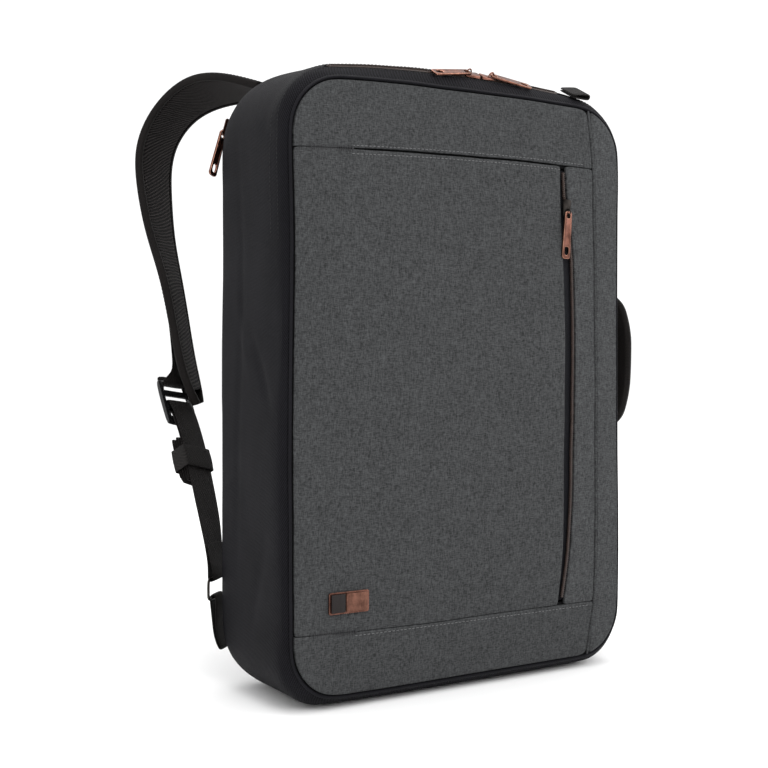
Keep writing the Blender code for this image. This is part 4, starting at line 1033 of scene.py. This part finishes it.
class BAG_OT_straps(bpy.types.Operator):
    """Dress both shoulder straps with their webbing and fittings"""

    bl_idname = "bag.straps"
    bl_label = "Shoulder straps"

    def execute(self, context):
        cover = dress("strap_left_cover", "pad", 2)

        def pinned(place):
            run, off = strap_run(place)
            return abs(off) > STRAP_SEWN[0] or run < STRAP_SEWN[1]

        settle(cover, pinned, *STRAP_SWELL)
        mesh = write_run(dress("strap_left_mesh", "strap mesh", 2), strap_run)
        root = dress("strap_left_root", "root", 2)
        pieces = [("cover", cover), ("mesh", mesh), ("root", root)]
        for part in ("upper_webbing", "lower_webbing", "keeper", "anchor"):
            crease = KEEPER_CREASE if part == "keeper" else WEB_CREASE
            piece = dress("strap_left_" + part, "webbing", 2, lambda place: crease)
            pieces.append((part, write_run(piece, strap_run)))
        buckle = dress("strap_left_buckle", "plastic", 2, lambda place: BUCKLE_CREASE)
        pieces.append(("buckle", buckle))
        pieces.append(("ring", polish("strap_left_ring", "dark metal", levels=2)))
        for part, piece in pieces:
            SOFT["strap_left_" + part] = piece
            node = "strap_right_" + part
            SOFT[node] = mirrored(piece, node + "_cloth", node)
        return {"FINISHED"}


class BAG_OT_handle(bpy.types.Operator):
    """Dress the side handle and the corner loop"""

    bl_idname = "bag.handle"
    bl_label = "Side handle"

    def execute(self, context):
        def run(place):
            return (place.z, place.y)

        grip = dress("side_handle_grip", "pad", 3)
        low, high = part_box("side_handle_grip")

        def pinned(place):
            return min(place.z - low.z, high.z - place.z) < GRIP_END

        SOFT["side_handle_grip"] = settle(grip, pinned, *GRIP_SWELL)
        for end in ("low", "high"):
            node = "side_handle_anchor_" + end
            SOFT[node] = write_run(dress(node, "webbing", 2), run)
        SOFT["corner_loop"] = write_run(
            dress("corner_loop", "webbing", 2), lambda place: (place.x, place.y)
        )
        return {"FINISHED"}


def ribbed(node, pitch, depth, boxes, along):
    """A zip coil: the node's strip cut fine along its run and pressed into teeth."""
    bm = node_copy(node)
    for _ in range(7):
        long = [e for e in bm.edges if e.calc_length() > pitch / 3.2 and
                abs(along(e.verts[0].co) - along(e.verts[1].co)) > e.calc_length() * 0.5]
        if not long:
            break
        bmesh.ops.subdivide_edges(bm, edges=long, cuts=1)
    bm.normal_update()
    moves = []
    for vertex in bm.verts:
        wave = math.cos(math.tau * along(vertex.co) / pitch)
        moves.append(vertex.normal * depth * (wave - 1) / 2)
    for vertex, move in zip(bm.verts, moves):
        vertex.co += move
    piece = new_piece(node + "_teeth", bm, "coil", frame["nodes"][node]["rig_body"])
    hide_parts(node)
    hang(piece, boxes)
    return smooth(piece, 70)


class BAG_OT_zips(bpy.types.Operator):
    """Make the zip coils, sliders and pulls"""

    bl_idname = "bag.zips"
    bl_label = "Zips"

    def execute(self, context):
        boxes = hard_boxes()

        def upright(place):
            return place.z

        ribbed("front_zip_coil", *FRONT_TEETH, boxes, upright)
        for node, width in TEETH_WIDTHS.items():
            strip = hang(dress(node, "coil", 1), boxes)
            low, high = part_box(node)
            depth = (low.y + high.y) / 2
            line = round_body(soft_tree(strip), depth, -TEETH_ARC, TEETH_ARC, 900)
            across = Vector((0, 1, 0))
            teeth = [(p, across, n, width, TOOTH) for p, n, _ in resample(line, TOOTH_PITCH)]
            gathered(node + "_teeth", teeth, "coil")
        for node in frame["nodes"]:
            if node.endswith(("_slider", "_pull")):
                # The front zip's slider takes the dark metal instead of copper: painted shade, as
                # it sits in shadow by the flap.
                polish(node, "dark metal" if node == "front_zip_slider" else "copper")
        return {"FINISHED"}


class BAG_OT_plate(bpy.types.Operator):
    """Make the plain rimmed plate on the front"""

    bl_idname = "bag.plate"
    bl_label = "Front plate"

    def execute(self, context):
        polish("badge_plate", "plate", PLATE_EDGE)
        low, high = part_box("badge_plate")
        wide = high.x - low.x
        bar = low.x + wide * FIELD_SPLIT
        tall = (low.z + FIELD_MARGIN, high.z - FIELD_MARGIN)
        face = low.y - FIELD_LIFT
        for look, left, right in (
            ("dark field", low.x + FIELD_MARGIN, bar - FIELD_MARGIN / 3),
            ("bright field", bar + FIELD_MARGIN / 3, high.x - FIELD_MARGIN),
        ):
            bm = bmesh.new()
            middle = Vector(((left + right) / 2, face + FIELD_LIFT, sum(tall) / 2))
            size = Matrix.Diagonal((right - left, FIELD_LIFT * 2, tall[1] - tall[0], 1.0))
            field = bmesh.ops.create_cube(bm, size=1.0, matrix=Matrix.Translation(middle) @ size)
            edges = {edge for vertex in field["verts"] for edge in vertex.link_edges}
            bmesh.ops.bevel(
                bm, geom=list(edges), offset=FIELD_LIFT * 0.8, segments=2, profile=0.5,
                affect="EDGES", material=-1,
            )
            smooth(new_piece("badge_" + look.replace(" ", "_"), bm, look), 50)
        return {"FINISHED"}


class BAG_OT_sewing(bpy.types.Operator):
    """Sew the front's seams, the gusset and the straps"""

    bl_idname = "bag.sewing"
    bl_label = "Stitches"

    def execute(self, context):
        self.front()
        self.gusset()
        self.straps()
        return {"FINISHED"}

    def front(self):
        names = ("top_panel", "main_panel", "zip_strip", "side_strip", "bottom_panel")
        tree = soft_tree(*(SOFT["front_" + name] for name in names))
        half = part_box("front_main_panel")[0].x
        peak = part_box("front_main_panel")[1].z + SLIT_LIFT

        def slit(x):
            return peak - SLIT_BOW * (x / half) ** 2

        low_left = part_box("front_main_panel")[0].z
        low_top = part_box("front_bottom_panel")[1].z

        def low(x):
            share = (x - half) / (2 * abs(half))
            return low_top + (low_left - low_top) * share

        def row(start, stop, height, step=0.001):
            count = int(abs(stop - start) / step)
            xs = [start + (stop - start) * k / count for k in range(count + 1)]
            return on_front(tree, [(x, height(x)) for x in xs])

        left, right = SLIT_ENDS
        lines = [
            row(left, right + 0.010, lambda x: slit(x) + SLIT_STITCH_OVER),
            row(left, right - 0.014, lambda x: slit(x) - SLIT_STITCH_UNDER),
            row(LOW_TACK[1], SEAM_END, lambda x: low(x) - SEAM_STITCH),
        ]
        sew("front_stitches", lines)
        tacks = tack(row(*SLIT_TACK, slit), TACK_HEIGHT) + tack(row(*LOW_TACK, low), TACK_HEIGHT)
        gathered("front_bar_tacks", tacks, "dark thread")

    def gusset(self):
        tree = soft_tree(SOFT["gusset_band"])
        low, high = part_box("main_zip_tape")
        over, under = low.y - ZIP_SEAM, high.y + ZIP_SEAM
        lines = [round_body(tree, y, -ZIP_SEAM_ARC, ZIP_SEAM_ARC) for y in (over, under)]
        sew("zip_stitches", lines, "black thread", scale=0.9)

    def straps(self):
        tree = soft_tree(SOFT["strap_left_cover"])
        lines = []
        for side in (-1, 1):
            line = []
            for _, place, _, across, outward, half in STATIONS:
                spot = place + across * side * (half - STRAP_SEAM) + outward * 0.02
                hit, normal, _, _ = tree.ray_cast(spot, -outward, 0.03)
                if hit is not None:
                    line.append((hit, normal))
            lines.append(line)
        twins = [
            [(Vector((-p.x, p.y, p.z)), Vector((-n.x, n.y, n.z))) for p, n in line]
            for line in lines
        ]
        sew("strap_left_stitches", lines, "black thread")
        sew("strap_right_stitches", twins, "black thread")


# Studio


def area_light(name, place, target, size, power):
    light = bpy.data.lights.new(name, "AREA")
    light.shape = "RECTANGLE"
    light.size, light.size_y = size
    light.energy = power
    lamp = bpy.data.objects.new(name, light)
    lamp.location = place
    lamp.rotation_euler = (Vector(target) - Vector(place)).to_track_quat("-Z", "Y").to_euler()
    bpy.context.scene.collection.objects.link(lamp)


class BAG_OT_stage(bpy.types.Operator):
    """Set up the floor, the lights and the camera"""

    bl_idname = "bag.stage"
    bl_label = "Studio"

    def execute(self, context):
        bm = bmesh.new()
        bmesh.ops.create_grid(bm, x_segments=4, y_segments=4, size=FLOOR_HALF)
        bmesh.ops.translate(bm, verts=bm.verts[:], vec=(0, 0, LOW.z - 0.0002))
        mesh = bpy.data.meshes.new("studio_floor")
        bm.to_mesh(mesh)
        bm.free()
        floor = bpy.data.objects.new("studio_floor", mesh)
        context.scene.collection.objects.link(floor)
        paper = Finish("white paper", 0.95, specular_ior_level=0.1)
        x, y, _ = paper.place()
        grain = paper.noise(paper.vector(x * 6, y * 6, 0.0))
        paper.paint("Base Color", paper.blend(grain, (0.91, 0.91, 0.91), (0.94, 0.94, 0.94)))
        mesh.materials.append(paper.material)

        world = bpy.data.worlds.new("studio")
        context.scene.world = world
        world.use_nodes = True
        sky = world.node_tree.nodes["Background"]
        sky.inputs["Color"].default_value = (1.0, 1.0, 1.0, 1.0)
        sky.inputs["Strength"].default_value = SKY
        for lamp in LAMPS:
            area_light(*lamp)

        lens = bpy.data.cameras.new("camera")
        lens.sensor_width = 36.0
        lens.lens = LENS
        lens.shift_y = RISE
        lens.clip_start = 0.01
        camera = bpy.data.objects.new("camera", lens)
        camera.location = EYE
        camera.rotation_euler = LOOK.to_track_quat("-Z", "Y").to_euler()
        context.scene.collection.objects.link(camera)
        context.scene.camera = camera
        context.scene.view_settings.view_transform = "Standard"
        return {"FINISHED"}


STEPS = (
    BAG_OT_looks, BAG_OT_stage, BAG_OT_body, BAG_OT_back, BAG_OT_straps,
    BAG_OT_handle, BAG_OT_zips, BAG_OT_plate, BAG_OT_sewing,
)


class BAG_PT_panel(bpy.types.Panel):
    """Lists the bag's steps and sizes"""

    bl_label = "Backpack"
    bl_idname = "BAG_PT_panel"
    bl_space_type = "VIEW_3D"
    bl_region_type = "UI"
    bl_category = "Backpack"

    def draw(self, context):
        for group, names in (
            (context.scene.bag_cloth, ("heather_dark", "heather_light", "gusset", "thread")),
            (context.scene.bag_sewing, ("stitch", "space", "thickness")),
        ):
            for name in names:
                self.layout.prop(group, name)
        for step in STEPS:
            self.layout.operator(step.bl_idname)


CLASSES = (BagCloth, BagSewing, *STEPS, BAG_PT_panel)


def register():
    for cls in CLASSES:
        bpy.utils.register_class(cls)
    bpy.types.Scene.bag_cloth = bpy.props.PointerProperty(type=BagCloth)
    bpy.types.Scene.bag_sewing = bpy.props.PointerProperty(type=BagSewing)


def unregister():
    del bpy.types.Scene.bag_sewing
    del bpy.types.Scene.bag_cloth
    for cls in reversed(CLASSES):
        bpy.utils.unregister_class(cls)


def main():
    register()
    for step in STEPS:
        group, name = step.bl_idname.split(".")
        getattr(getattr(bpy.ops, group), name)()


if __name__ == "__main__":
    main()
